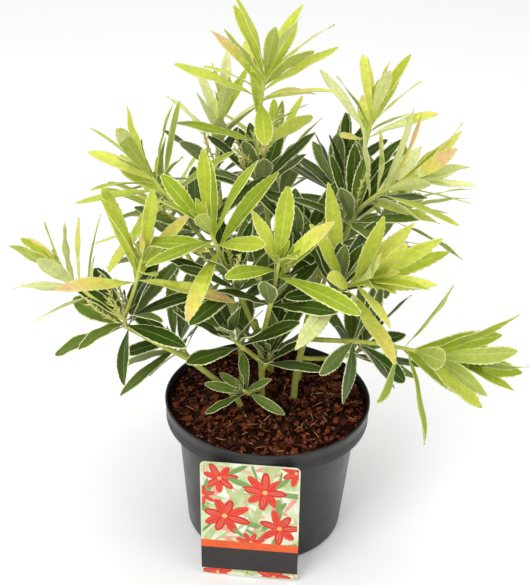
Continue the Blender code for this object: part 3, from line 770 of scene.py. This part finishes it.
def finish_piece(name, mesh, materials, slot, *nodes):
    """Make an object of a bmesh, with its finishes, riding on the pot's body."""
    data = mesh_data(name, mesh)
    piece = place_object(name, data)
    for material in materials:
        data.materials.append(material)
    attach(piece, "root")
    if nodes:
        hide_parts(*nodes)
    return piece


def rounded(profile, radii):
    """The profile with each corner that has a radius turned into an arc of points."""
    points = []
    for number, corner in enumerate(profile):
        radius = radii.get(number, 0.0)
        if not radius:
            points.append(corner)
            continue
        here = Vector(corner)
        before = (Vector(profile[number - 1]) - here).normalized()
        after = (Vector(profile[number + 1]) - here).normalized()
        first, last = here + before * radius, here + after * radius
        points += [tuple(curve_point(first, here, last, step / RIM_ARCS))
                   for step in range(RIM_ARCS + 1)]
    return points


def turned(profile, steps):
    """A closed bmesh turned round the Z axis from a profile of (radius, height) points."""
    mesh = bmesh.new()
    line = [mesh.verts.new((radius, 0.0, height)) for radius, height in profile]
    edges = [mesh.edges.new(pair) for pair in zip(line, line[1:])]
    bmesh.ops.spin(mesh, geom=line + edges, cent=(0, 0, 0), axis=(0, 0, 1), angle=math.tau,
                   steps=steps, use_merge=True, use_duplicate=False)
    bmesh.ops.remove_doubles(mesh, verts=mesh.verts, dist=WELD)
    bmesh.ops.recalc_face_normals(mesh, faces=mesh.faces)
    set_slot(mesh, 0, True)
    return mesh


def inner_radius(height):
    share = height / (POT_HEIGHT - COLLAR_HEIGHT)
    return BASE_RADIUS + (WAIST_RADIUS - BASE_RADIUS) * share - POT_WALL


def make_pot(plastic):
    """Moulded pot: rolled lip, collar with fine rings at its foot, tapering wall, drain holes."""
    foot = POT_HEIGHT - COLLAR_HEIGHT
    ledge = foot + POT_WALL
    lip_foot = POT_HEIGHT - LIP_HEIGHT
    collar = [(COLLAR_FOOT_RADIUS, foot)]
    for number in range(RINGS):
        height = foot + RING_FIRST + number * RING_SPACING
        radius = COLLAR_FOOT_RADIUS + (height - foot) * COLLAR_DRAFT
        collar = [(radius, height + RING_HALF_WIDTH), (radius + RING_OUT, height),
                  (radius, height - RING_HALF_WIDTH)] + collar
    profile = [
        (0.0, POT_WALL),
        (inner_radius(POT_WALL) - BASE_CORNER, POT_WALL),
        (inner_radius(BASE_CORNER), POT_WALL + BASE_CORNER),
        (inner_radius(ledge), ledge),
        (COLLAR_FOOT_RADIUS - POT_WALL, ledge),
        (RIM_RADIUS - POT_WALL, POT_HEIGHT),
        (RIM_RADIUS, POT_HEIGHT),
        (RIM_RADIUS, lip_foot),
        (RIM_RADIUS - LIP_OUT, lip_foot - LIP_OUT),
    ] + collar + [
        (WAIST_RADIUS + WAIST_STEP, foot),
        (WAIST_RADIUS, foot - WAIST_DROP),
        (BASE_RADIUS, BASE_CORNER),
        (BASE_RADIUS - BASE_CORNER, 0.0),
        (0.0, 0.0),
    ]
    # Radii of the corners, by their places in the profile
    last = len(profile)
    radii = {1: 1.5 * MM, 2: 1.0 * MM, 5: 0.5 * MM, 6: 0.7 * MM, 7: 0.4 * MM,
             last - 6: 0.5 * MM, last - 3: 2.0 * MM, last - 2: 2.0 * MM}
    pot = finish_piece("moulded_pot", turned(rounded(profile, radii), POT_STEPS), [plastic],
                       "pot_plastic", "pot")
    holes = bmesh.new()
    for number in range(DRAIN_HOLES):
        angle = (number + 0.5) * math.tau / DRAIN_HOLES
        place = Vector((math.cos(angle), math.sin(angle), 0.0)) * DRAIN_CIRCLE
        bmesh.ops.create_cone(holes, cap_ends=True, segments=32, radius1=DRAIN_RADIUS,
                              radius2=DRAIN_RADIUS, depth=4 * POT_WALL,
                              matrix=Matrix.Translation(place))
    cutter = place_object("drain_holes", mesh_data("drain_holes", holes))
    cut = pot.modifiers.new("drain holes", "BOOLEAN")
    cut.operation = "DIFFERENCE"
    cut.solver = "EXACT"
    cut.object = cutter
    bpy.context.view_layer.update()
    settled = pot.evaluated_get(bpy.context.evaluated_depsgraph_get())
    pot.data = bpy.data.meshes.new_from_object(settled)
    pot.modifiers.clear()
    bpy.data.objects.remove(cutter)


ChipKind = namedtuple("ChipKind", "count long wide thick tilt rise rough shades")
CHIP_KINDS = (
    # how many, length, width and thickness in mm, tilt in degrees, rise in mm, roughness in mm
    ChipKind(900, (1.0, 2.4), (0.8, 1.6), (0.6, 1.3), 90, (-0.6, 0.8), 0.3, (0, 1, 1, 2)),
    ChipKind(1300, (2.6, 5.5), (1.8, 3.6), (0.9, 2.2), 40, (-0.4, 1.2), 0.7, (0, 1, 1, 2, 2, 3)),
    ChipKind(520, (5.0, 10.0), (3.0, 6.0), (1.2, 2.8), 30, (0.2, 2.2), 1.1, (0, 0, 1, 1, 2, 2)),
    ChipKind(70, (6.0, 13.0), (0.5, 0.9), (0.4, 0.7), 14, (1.6, 3.2), 0.12, (4, 4, 3)),
)


def lay_chip(chips, kind, reach, chance):
    """One rough flake of bark or fibre, lying on the bed within a reach of the pot's middle."""
    radius = reach * math.sqrt(chance.random())
    angle = chance.uniform(0.0, math.tau)
    shape = [chance.uniform(*size) * 0.5 for size in (kind.long, kind.wide, kind.thick)]
    tilt = math.radians(chance.uniform(-kind.tilt, kind.tilt))
    turn = chance.uniform(0.0, math.tau)
    roll = math.radians(chance.uniform(-kind.tilt, kind.tilt))
    lying = spin(turn, "Z") @ spin(tilt, "Y") @ spin(roll, "X")
    height = COMPOST_TOP + chance.uniform(*kind.rise) * MM
    place = Matrix.Translation((radius * math.cos(angle), radius * math.sin(angle), height))
    stretch = Matrix.Diagonal((*vector(shape), 1.0))
    chip = bmesh.new()
    bmesh.ops.create_icosphere(chip, subdivisions=1, radius=1.0)
    for vertex in chip.verts:
        vertex.co.x *= chance.uniform(0.6, 1.15)
        vertex.co.y *= chance.uniform(0.7, 1.3)
    bmesh.ops.transform(chip, matrix=place @ lying @ stretch, verts=chip.verts)
    for vertex in chip.verts:
        vertex.co += vector([chance.uniform(-0.5, 0.5) for axis in range(3)]) * kind.rough
    set_slot(chip, chance.choice(kind.shades))
    add_shape(chips, chip)


def make_compost(bed_material, chip_materials):
    """The bark compost: a lumpy bed inside the pot, with chips and fibres lying on it."""
    ledge = POT_HEIGHT - COLLAR_HEIGHT + POT_WALL
    surface = [(COMPOST_EDGE * ring / BED_RINGS, COMPOST_TOP) for ring in range(BED_RINGS + 1)]
    profile = surface + [
        (COLLAR_FOOT_RADIUS - POT_WALL - CLEARANCE, ledge + CLEARANCE),
        (inner_radius(ledge) - CLEARANCE, ledge + CLEARANCE),
        (inner_radius(BASE_CORNER) - 2 * CLEARANCE, POT_WALL + BASE_CORNER + CLEARANCE),
        (inner_radius(POT_WALL) - BASE_CORNER - 2 * CLEARANCE, POT_WALL + CLEARANCE),
        (0.0, POT_WALL + CLEARANCE),
    ]
    bed = turned(profile, BED_STEPS)
    for vertex in bed.verts:
        if vertex.co.z > COMPOST_TOP - 0.1 * MM:
            lump = noise.fractal(vertex.co * LUMP_FINENESS, 1.0, 2.1, 3)
            vertex.co.z += lump * LUMP_HEIGHT - LUMP_SINK
    finish_piece("compost_bed", bed, [bed_material], "compost", "compost")
    chips = bmesh.new()
    chance = random.Random(11)
    for kind in CHIP_KINDS:
        for number in range(kind.count):
            lay_chip(chips, kind, COMPOST_EDGE - kind.long[1] * 0.6 * MM, chance)
    finish_piece("bark_chips", chips, chip_materials, "compost")


def card_matrix(lift):
    """Place of a flat print on the card's face, lifted off it a little."""
    share = (CARD_TOP - POT_HEIGHT + COLLAR_HEIGHT) / COLLAR_HEIGHT
    collar = COLLAR_FOOT_RADIUS + (RIM_RADIUS - LIP_OUT - COLLAR_FOOT_RADIUS) * share
    stand_off = collar + CLEARANCE + CARD_THICKNESS / 2
    turn = spin(CARD_YAW, "Z")
    place = turn @ Vector((CARD_SHIFT, -stand_off, 0.0))
    place.z = CARD_TOP - CARD_HEIGHT / 2
    facing = turn @ spin(math.pi / 2, "X") @ spin(CARD_ROLL, "Z")
    return Matrix.Translation(place) @ facing @ Matrix.Translation((0.0, 0.0, lift))


def card_sheet(mesh, low, high, slot, corners=False):
    """A flat piece of the card between two heights, with round corners where asked."""
    scale = Matrix.Diagonal((CARD_WIDTH / 2, (high - low) / 2, 1.0, 1.0))
    place = Matrix.Translation((0.0, (high + low) / 2, 0.0))
    sheet = bmesh.new()
    bmesh.ops.create_grid(sheet, x_segments=1, y_segments=1, size=1.0, matrix=place @ scale)
    if corners:
        bmesh.ops.bevel(sheet, geom=sheet.verts[:], offset=CARD_CORNER, segments=6,
                        profile=0.5, affect="VERTICES", material=-1)
    set_slot(sheet, slot)
    add_shape(mesh, sheet)


def make_card(materials):
    """The picture card: a sheet with a generic bloom print, an orange and a charcoal band."""
    half = CARD_HEIGHT / 2
    body = bmesh.new()
    card_sheet(body, -half, half, 0, True)
    grown = bmesh.ops.extrude_face_region(body, geom=list(body.faces))
    raised = [item for item in grown["geom"] if isinstance(item, bmesh.types.BMVert)]
    bmesh.ops.translate(body, verts=raised, vec=(0.0, 0.0, CARD_THICKNESS))
    bmesh.ops.translate(body, verts=body.verts, vec=(0.0, 0.0, -CARD_THICKNESS / 2))
    bmesh.ops.recalc_face_normals(body, faces=body.faces)
    for face in body.faces:
        face.material_index = 1 if face.normal.z > 0.9 else 0
    bmesh.ops.transform(body, matrix=card_matrix(0.0), verts=body.verts)
    finish_piece("printed_card", body, [materials["card stock"], materials["garden print"]],
                 "card", "picture_card")
    bands = bmesh.new()
    card_sheet(bands, BAND_FOOT, PICTURE_FOOT, 0)
    card_sheet(bands, STRIP_TOP, BAND_FOOT, 1)
    bmesh.ops.transform(bands, matrix=card_matrix(CARD_THICKNESS / 2 + BAND_LIFT),
                        verts=bands.verts)
    finish_piece("card_bands", bands, [materials[name] for name in BAND_COLOURS], "card")
    make_blooms("card_picture", materials, PICTURE_FOOT, half)
    make_blooms("card_strip", materials, -half, STRIP_TOP)


BLOOMS = (
    # place across and above the card's middle, radius, turn, petals, in millimetres and degrees
    (-24, 42, 15, 10, 7),
    (12, 31, 18, 40, 8),
    (36, 52, 13, 0, 7),
    (-20, 5, 19, 25, 8),
    (24, -4, 17, 60, 7),
    (1, -20, 11, 15, 7),
    (-37, 24, 10, 30, 6),
    (-26, -54, 13, 20, 7),
    (20, -55, 14, 50, 7),
)
BAND_COLOURS = {"orange band": (0.84, 0.12, 0.025), "charcoal band": (0.035, 0.030, 0.030)}
PRINT_COLOURS = {
    "scarlet": (0.62, 0.030, 0.018), "red": (0.76, 0.060, 0.030), "rose": (0.78, 0.12, 0.075),
    "leaf print": (0.22, 0.34, 0.10), "pale leaf print": (0.50, 0.58, 0.26),
    "bloom heart": (0.80, 0.45, 0.16), "salmon": (0.80, 0.36, 0.26),
    "cream print": (0.84, 0.81, 0.68), "crimson": (0.36, 0.012, 0.012),
}
PRINT_SLOTS = {shade: slot for slot, shade in enumerate(PRINT_COLOURS)}
SOFT_MARKS = 110
SOFT_SHADES = ("leaf print", "pale leaf print", "pale leaf print", "salmon", "salmon",
               "cream print")
PETAL_SHADES = ("scarlet", "red")
FLUSH_SHADES = ("rose", "red")
PRINT_LEAVES = ("leaf print", "pale leaf print")
PRINT_LEAF_COUNT = 4


def print_oval(mesh, centre, turn, length, width, lift, shade):
    """A flat printed oval; its centre and sizes are in millimetres."""
    matrix = (Matrix.Translation(vector((*centre, lift))) @ spin(turn, "Z")
              @ Matrix.Diagonal((length / 2 * MM, width / 2 * MM, 1.0, 1.0)))
    oval = bmesh.new()
    bmesh.ops.create_circle(oval, cap_ends=True, segments=18, radius=1.0, matrix=matrix)
    set_slot(oval, PRINT_SLOTS[shade])
    add_shape(mesh, oval)


def print_bloom(mesh, number, chance):
    """A red daisy-like bloom, its petals flushed and lined, over its leaves."""
    across, above, radius, turn, petals = BLOOMS[number]
    middle = Vector((across, above))
    lift = 0.06 + 0.02 * number
    for leaf in range(PRINT_LEAF_COUNT):
        angle = math.radians(turn + 36 + leaf * 90 + chance.uniform(-20, 20))
        out = Vector((math.cos(angle), math.sin(angle)))
        print_oval(mesh, middle + out * radius * 1.15, angle, radius * 1.2, radius * 0.3,
                   lift - 0.001 * (leaf + 1), PRINT_LEAVES[(leaf + number) % 2])
    for petal in range(petals):
        angle = math.radians(turn + petal * 360 / petals + chance.uniform(-6, 6))
        out = Vector((math.cos(angle), math.sin(angle)))
        long = radius * chance.uniform(0.85, 1.1)
        parity = (petal + number) % 2
        # The petal, a lighter flush on it and a dark line along its middle
        layers = ((1.0, 0.40, PETAL_SHADES[parity]), (0.74, 0.20, FLUSH_SHADES[parity]),
                  (0.70, 0.022, "crimson"))
        for layer, (size, wide, shade) in enumerate(layers):
            print_oval(mesh, middle + out * long * 0.54, angle, long * size, radius * wide,
                       lift + 0.002 * petal + 0.0006 * layer, shade)
    print_oval(mesh, middle, 0.0, radius * 0.24, radius * 0.24, lift + 0.018, "bloom heart")


def make_blooms(name, materials, low, high):
    """A print of blooms over soft marks, trimmed at the card's edges and its bands."""
    half = CARD_HEIGHT / 2
    blooms = bmesh.new()
    chance = random.Random(5)
    for mark in range(SOFT_MARKS):
        middle = (chance.uniform(-0.5, 0.5) * CARD_WIDTH / MM, chance.uniform(low, high) / MM)
        print_oval(blooms, middle, chance.uniform(0.0, math.pi), chance.uniform(8, 20),
                   chance.uniform(1.5, 5.0), 0.0004 * mark, chance.choice(SOFT_SHADES))
    for number in range(len(BLOOMS)):
        print_bloom(blooms, number, chance)
    edge = CARD_WIDTH / 2 - PRINT_INSET
    top = high - (PRINT_INSET if high == half else 0.0)
    foot = low + (PRINT_INSET if low == -half else 0.0)
    for place, facing in (((edge, 0, 0), (1, 0, 0)), ((-edge, 0, 0), (-1, 0, 0)),
                          ((0, top, 0), (0, 1, 0)), ((0, foot, 0), (0, -1, 0))):
        bmesh.ops.bisect_plane(blooms, geom=blooms.verts[:] + blooms.edges[:] + blooms.faces[:],
                               plane_co=place, plane_no=facing, clear_outer=True)
    bmesh.ops.transform(blooms, matrix=card_matrix(CARD_THICKNESS / 2 + BLOOM_LIFT),
                        verts=blooms.verts)
    finish_piece(name, blooms, [materials[shade] for shade in PRINT_COLOURS], "card")


EVEN = (1.0, 1.0, 1.0)
COLOUR, VALUE, VECTOR = "NodeSocketColor", "NodeSocketFloat", "NodeSocketVector"


def fill_inputs(tree, node, values):
    """Give a node's inputs their values, or links from other nodes' outputs."""
    for name, value in values.items():
        if isinstance(value, bpy.types.NodeSocket):
            tree.links.new(value, node.inputs[name])
        else:
            node.inputs[name].default_value = value


def add_node(tree, kind, values, **settings):
    """A new node with its settings, and with values or links on its inputs."""
    node = tree.nodes.new(kind)
    for setting, value in settings.items():
        setattr(node, setting, value)
    fill_inputs(tree, node, values)
    return node


def start_group(name, inputs, outputs):
    """A new node group with its sockets, and its input and output nodes."""
    group = bpy.data.node_groups.new(name, "ShaderNodeTree")
    for direction, sockets in (("INPUT", inputs), ("OUTPUT", outputs)):
        for label, kind, *value in sockets:
            socket = group.interface.new_socket(name=label, in_out=direction, socket_type=kind)
            if value:
                socket.default_value = value[0]
    return group, group.nodes.new("NodeGroupInput"), group.nodes.new("NodeGroupOutput")


def stretched_noise(group, enter, values):
    """Noise on the object's own coordinates, with the group's scale and stretch."""
    where = add_node(group, "ShaderNodeTexCoord", {})
    stretch = add_node(group, "ShaderNodeVectorMath",
                       {0: where.outputs["Object"], 1: enter.outputs["Stretch"]},
                       operation="MULTIPLY")
    values = values | {"Vector": stretch.outputs[0], "Scale": enter.outputs["Scale"]}
    return add_node(group, "ShaderNodeTexNoise", values).outputs["Fac"]


def mottle_group():
    """Node group: two colours mixed by soft noise, for growth, bark and moulded plastic."""
    group, enter, leave = start_group(
        "Mottle",
        (("First colour", COLOUR), ("Second colour", COLOUR), ("Scale", VALUE, 60.0),
         ("Stretch", VECTOR, EVEN)),
        (("Colour", COLOUR), ("Mask", VALUE)))
    pattern = stretched_noise(group, enter, {"Detail": 4.0, "Roughness": 0.6})
    mask = add_node(group, "ShaderNodeMapRange", {
        "Value": pattern, "From Min": 0.35, "From Max": 0.65}).outputs["Result"]
    mix = add_node(group, "ShaderNodeMix", {
        "Factor": mask, "A": enter.outputs["First colour"], "B": enter.outputs["Second colour"],
    }, data_type="RGBA")
    fill_inputs(group, leave, {"Colour": mix.outputs["Result"], "Mask": mask})
    return group


def relief_group():
    """Node group: a normal from fine noise relief."""
    group, enter, leave = start_group(
        "Fine relief",
        (("Scale", VALUE, 400.0), ("Strength", VALUE, 0.2), ("Depth", VALUE, 0.0003),
         ("Stretch", VECTOR, EVEN)),
        (("Normal", VECTOR),))
    bump = add_node(group, "ShaderNodeBump", {
        "Height": stretched_noise(group, enter, {"Detail": 5.0}),
        "Strength": enter.outputs["Strength"], "Distance": enter.outputs["Depth"]})
    fill_inputs(group, leave, {"Normal": bump.outputs["Normal"]})
    return group


def vein_group():
    """Node group: side veins that slant forward from the rib, on the leaf's own UV map."""
    group, enter, leave = start_group("Leaf veins", (("Veins", VALUE, 13.0),),
                                      (("Mask", VALUE), ("Normal", VECTOR)))
    where = add_node(group, "ShaderNodeUVMap", {}, uv_map="UVMap")
    split = add_node(group, "ShaderNodeSeparateXYZ", {0: where.outputs["UV"]})

    def work(operation, first, second=0.0):
        node = add_node(group, "ShaderNodeMath", {0: first, 1: second}, operation=operation)
        return node.outputs[0]

    across = work("ABSOLUTE", work("SUBTRACT", split.outputs["X"], 0.5))
    along = work("MULTIPLY", split.outputs["Y"], enter.outputs["Veins"])
    slanted = work("SUBTRACT", along, work("MULTIPLY", across, 4.2))
    saw = work("ABSOLUTE", work("SUBTRACT", work("FRACT", slanted), 0.5))
    line = work("POWER", work("MULTIPLY", saw, 2.0), 10.0)
    mask = work("MULTIPLY", line, work("SUBTRACT", 1.0, work("MULTIPLY", across, 2.0)))
    bump = add_node(group, "ShaderNodeBump",
                    {"Strength": 0.35, "Distance": 0.0004, "Height": mask}, invert=True)
    fill_inputs(group, leave, {"Mask": mask, "Normal": bump.outputs["Normal"]})
    return group


def new_material(name, roughness, gloss):
    """A material with its node tree and its shader."""
    material = bpy.data.materials.new(name)
    material.use_nodes = True
    tree = material.node_tree
    shader = tree.nodes["Principled BSDF"]
    fill_inputs(tree, shader, {"Roughness": roughness, "Specular IOR Level": gloss})
    return material, tree, shader


def place_group(tree, name, **values):
    """A group's node, with its input sockets' names given with low lines for spaces."""
    values = {socket.replace("_", " "): value for socket, value in values.items()}
    return add_node(tree, "ShaderNodeGroup", values, node_tree=GROUPS[name])


def mottled(name, first, second, roughness, scale, stretch=EVEN, relief=None, gloss=0.3):
    """A finish of two mottled colours, with fine relief where relief gives (scale, strength)."""
    material, tree, shader = new_material(name, roughness, gloss)
    colour = place_group(tree, "mottle", First_colour=(*first, 1.0), Second_colour=(*second, 1.0),
                         Scale=scale, Stretch=stretch)
    fill_inputs(tree, shader, {"Base Color": colour.outputs["Colour"]})
    if relief:
        fine = place_group(tree, "relief", Scale=relief[0], Strength=relief[1], Stretch=stretch)
        fill_inputs(tree, shader, {"Normal": fine.outputs["Normal"]})
    return material


def leaf_finish(name, colour, roughness, vein_lift):
    """A leaf's blade: a slightly mottled shade with lighter, sunken side veins."""
    gloss = LEAF_GLOSS if colour[1] > 0.2 else OLD_LEAF_GLOSS
    material, tree, shader = new_material(name, roughness, gloss)
    low, high = [[value * share for value in colour] for share in LEAF_MOTTLE]
    shade = place_group(tree, "mottle", First_colour=(*low, 1.0), Second_colour=(*high, 1.0),
                        Scale=220.0)
    veins = place_group(tree, "veins")
    strength = add_node(tree, "ShaderNodeMath", {0: veins.outputs["Mask"], 1: vein_lift},
                        operation="MULTIPLY")
    vein_colour = (*[min(value * 1.6 + 0.05, 1.0) for value in colour], 1.0)
    mix = add_node(tree, "ShaderNodeMix", {
        "Factor": strength.outputs[0], "A": shade.outputs["Colour"], "B": vein_colour,
    }, data_type="RGBA")
    fill_inputs(tree, shader, {"Base Color": mix.outputs["Result"],
                               "Normal": veins.outputs["Normal"]})
    return material


LEAF_GLOSS = 0.18
OLD_LEAF_GLOSS = 0.15
LEAF_MOTTLE = (0.88, 1.1)
LEAF_COLOURS = {
    # shade: base colour, roughness, how far the side veins lighten it
    "lime": ((0.40, 0.475, 0.032), 0.45, 0.32),
    "spring": ((0.525, 0.59, 0.062), 0.45, 0.3),
    "fresh": ((0.285, 0.375, 0.018), 0.42, 0.35),
    "yellow": ((0.66, 0.685, 0.11), 0.45, 0.18),
    "pale": ((0.77, 0.80, 0.36), 0.5, 0.18),
    "straw": ((0.68, 0.60, 0.115), 0.5, 0.12),
    "peach": ((0.74, 0.57, 0.18), 0.5, 0.12),
    "warm": ((0.76, 0.50, 0.23), 0.5, 0.12),
    "deep": ((0.038, 0.076, 0.0048), 0.38, 0.3),
    "dark": ((0.062, 0.110, 0.0085), 0.4, 0.3),
    "moss": ((0.118, 0.182, 0.020), 0.42, 0.28),
    "under lime": ((0.42, 0.485, 0.095), 0.6, 0.2),
    "under pale": ((0.66, 0.70, 0.27), 0.6, 0.2),
    "under deep": ((0.125, 0.175, 0.042), 0.6, 0.2),
    "under dark": ((0.185, 0.24, 0.066), 0.6, 0.2),
    "under moss": ((0.27, 0.325, 0.115), 0.6, 0.2),
}
# Upper shades of a leaf's slots, rib and margin last, then what each has on the underside
BRIGHT_PALETTE = (
    "lime", "spring", "fresh", "yellow", "pale", "straw", "peach", "warm",
    "bright rib", "yellow margin",
    "under lime", "under lime", "under lime", "under pale", "under pale", "straw", "peach", "warm",
    "bright under rib", "yellow margin",
)
DARK_PALETTE = (
    "deep", "dark", "moss", "dark rib", "cream margin",
    "under deep", "under dark", "under moss", "under rib", "cream margin",
)
FINISHES = {
    # name: two colours, roughness, scale of the mottle, then stretch, relief and gloss if any
    "bright rib": ((0.50, 0.58, 0.10), (0.60, 0.67, 0.17), 0.5, 90.0),
    "dark rib": ((0.19, 0.26, 0.07), (0.28, 0.35, 0.12), 0.5, 90.0),
    "under rib": ((0.32, 0.38, 0.19), (0.40, 0.46, 0.25), 0.6, 90.0),
    "bright under rib": ((0.50, 0.56, 0.20), (0.60, 0.64, 0.28), 0.6, 90.0),
    "cream margin": ((0.72, 0.74, 0.36), (0.80, 0.81, 0.50), 0.55, 120.0),
    "yellow margin": ((0.61, 0.66, 0.18), (0.74, 0.76, 0.32), 0.55, 120.0),
    "stem bark": ((0.27, 0.30, 0.055), (0.46, 0.48, 0.10), 0.6, 90.0, (1.0, 1.0, 0.35),
                  (900.0, 0.5)),
    "young bark": ((0.36, 0.40, 0.065), (0.52, 0.54, 0.10), 0.5, 120.0, (1.0, 1.0, 0.5),
                   (900.0, 0.3)),
    "green shoot": ((0.52, 0.58, 0.10), (0.64, 0.66, 0.16), 0.45, 120.0, EVEN, (1100.0, 0.2)),
    "yellow bud": ((0.66, 0.68, 0.16), (0.74, 0.70, 0.26), 0.55, 300.0),
    "bud scale": ((0.52, 0.56, 0.14), (0.62, 0.50, 0.24), 0.6, 300.0),
    "compost bed": ((0.008, 0.0025, 0.0015), (0.03, 0.008, 0.004), 0.95, 220.0, EVEN,
                    (700.0, 1.0), 0.05),
    "card stock": ((0.80, 0.79, 0.74), (0.84, 0.83, 0.79), 0.6, 200.0),
    "garden print": ((0.84, 0.84, 0.72), (0.42, 0.55, 0.22), 0.32, 46.0, EVEN, None, 0.5),
}
CHIP_COLOURS = {
    "dark chip": ((0.012, 0.0026, 0.0012), (0.030, 0.0066, 0.0028)),
    "brown chip": ((0.040, 0.0085, 0.0035), (0.095, 0.0210, 0.0080)),
    "red chip": ((0.110, 0.0230, 0.0085), (0.22, 0.050, 0.018)),
    "tan chip": ((0.22, 0.065, 0.024), (0.36, 0.130, 0.050)),
    "fibre": ((0.42, 0.20, 0.07), (0.58, 0.34, 0.15)),
}


def pot_plastic():
    """Dark grey moulded plastic: satin, with faint streaks down the wall and dusty patches."""
    material, tree, shader = new_material("pot plastic", 0.4, 0.36)
    streaks = place_group(tree, "mottle", First_colour=(0.015, 0.0135, 0.0130, 1.0),
                          Second_colour=(0.024, 0.0218, 0.0210, 1.0), Scale=120.0,
                          Stretch=(1.0, 1.0, 0.12))
    dust = place_group(tree, "mottle", Scale=18.0)
    wear = add_node(tree, "ShaderNodeMapRange", {
        "Value": dust.outputs["Mask"], "To Min": 0.30, "To Max": 0.46})
    fine = place_group(tree, "relief", Scale=1400.0, Strength=0.25, Depth=0.0001)
    fill_inputs(tree, shader, {"Base Color": streaks.outputs["Colour"],
                               "Roughness": wear.outputs["Result"],
                               "Normal": fine.outputs["Normal"]})
    return material


def make_materials():
    """Every finish of the plant, by name."""
    made = {name: mottled(name, *values) for name, values in FINISHES.items()}
    for name, values in LEAF_COLOURS.items():
        made[name] = leaf_finish(name + " leaf", *values)
    for name, colours in CHIP_COLOURS.items():
        made[name] = mottled(name, *colours, 0.6, 500.0, EVEN, (1500.0, 0.6), 0.12)
    for name, colour in (BAND_COLOURS | PRINT_COLOURS).items():
        made[name] = mottled(name, [value * 0.82 for value in colour], colour, 0.32, 150.0)
    made["pot plastic"] = pot_plastic()
    return made


WHITE = (1.0, 1.0, 1.0, 1.0)
WORLD_LIGHT = 0.82
WORLD_SEEN = 0.97
FLOOR_RADIUS = 6.0
FLOOR_GLOW = 0.06
LAMP_AIM = Vector((0.0, 0.0, 0.22))
LAMPS = (
    # name, place, size, watts
    ("key", (-0.8, -1.2, 1.5), 0.8, 15.0),
    ("fill", (1.3, -1.0, 0.9), 1.0, 4.0),
    ("top", (0.1, 0.3, 1.9), 1.0, 6.0),
)


def make_stage():
    """Pale floor, soft studio light and the camera."""
    ground = bmesh.new()
    bmesh.ops.create_circle(ground, cap_ends=True, segments=96, radius=FLOOR_RADIUS)
    floor = place_object("floor", mesh_data("floor", ground))
    material, tree, shader = new_material("pale floor", 0.9, 0.5)
    fill_inputs(tree, shader, {"Base Color": (0.94, 0.94, 0.94, 1.0), "Emission Color": WHITE,
                               "Emission Strength": FLOOR_GLOW})
    floor.data.materials.append(material)
    world = bpy.data.worlds.new("studio")
    bpy.context.scene.world = world
    world.use_nodes = True
    sky = world.node_tree
    seen = add_node(sky, "ShaderNodeLightPath", {}).outputs["Is Camera Ray"]
    strength = add_node(sky, "ShaderNodeMapRange", {
        "Value": seen, "To Min": WORLD_LIGHT, "To Max": WORLD_SEEN})
    fill_inputs(sky, sky.nodes["Background"], {"Color": WHITE,
                                               "Strength": strength.outputs["Result"]})
    for name, place, size, watts in LAMPS:
        lamp = bpy.data.lights.new(name, "AREA")
        lamp.size = size
        lamp.energy = watts
        thing = place_object(name, lamp)
        thing.location = place
        aim = LAMP_AIM - thing.location
        thing.rotation_euler = aim.to_track_quat("-Z", "Y").to_euler()
    lens = bpy.data.cameras.new("camera")
    lens.lens = CAMERA_LENS
    lens.clip_end = 20.0
    camera = place_object("camera", lens)
    turn = spin(math.pi / 2 - CAMERA_PITCH, "X") @ spin(CAMERA_ROLL, "Z")
    camera.matrix_world = Matrix.Translation(vector(CAMERA_PLACE)) @ turn
    bpy.context.scene.camera = camera
    bpy.context.scene.view_settings.view_transform = "Standard"


GROUPS = {"mottle": mottle_group(), "relief": relief_group(), "veins": vein_group()}
materials = make_materials()
limbs, twigs, leaves = plan_plant()

make_pot(materials["pot plastic"])
make_compost(materials["compost bed"], [materials[name] for name in CHIP_COLOURS])
make_card(materials)

grow_limbs("bark_stems", [limbs[name] for name in STEMS], LIMB_SIDES, LIMB_ROW, LIMB_SCARS,
           FOOT_FLARE, STEM_SINK, materials["stem bark"], "stem", *STEMS)
grow_limbs("young_boughs", [limbs[name] for name in BOUGHS], LIMB_SIDES, LIMB_ROW, LIMB_SCARS,
           FOOT_FLARE, BOUGH_SINK, materials["young bark"], "bough", *BOUGHS)
grow_limbs("green_twigs", sum(twigs.values(), []), TWIG_SIDES, TWIG_ROW, TWIG_SCARS,
           0.0, TWIG_SINK, materials["green shoot"], "foliage", *MASSES)
grow_sprays(twigs, [materials["yellow bud"], materials["bud scale"]])

by_kind = {kind: [leaf for leaf in leaves if leaf.kind == kind] for kind in KINDS}
for name, group, palette in (
        ("lime_leaves", by_kind["young"], BRIGHT_PALETTE),
        ("fan_leaves", by_kind["fan"] + by_kind["sweep"], BRIGHT_PALETTE),
        ("pale_leaves", by_kind["pale"], BRIGHT_PALETTE),
        ("heart_leaves", heart_leaves(twigs, BRIGHT_KINDS), BRIGHT_PALETTE),
        ("old_leaves", by_kind["old"] + by_kind["low"], DARK_PALETTE),
        ("upright_leaves", by_kind["upright"], DARK_PALETTE),
        ("old_heart_leaves", heart_leaves(twigs, OLD_KINDS), DARK_PALETTE)):
    grow_blades(name, group, palette, materials)

make_stage()
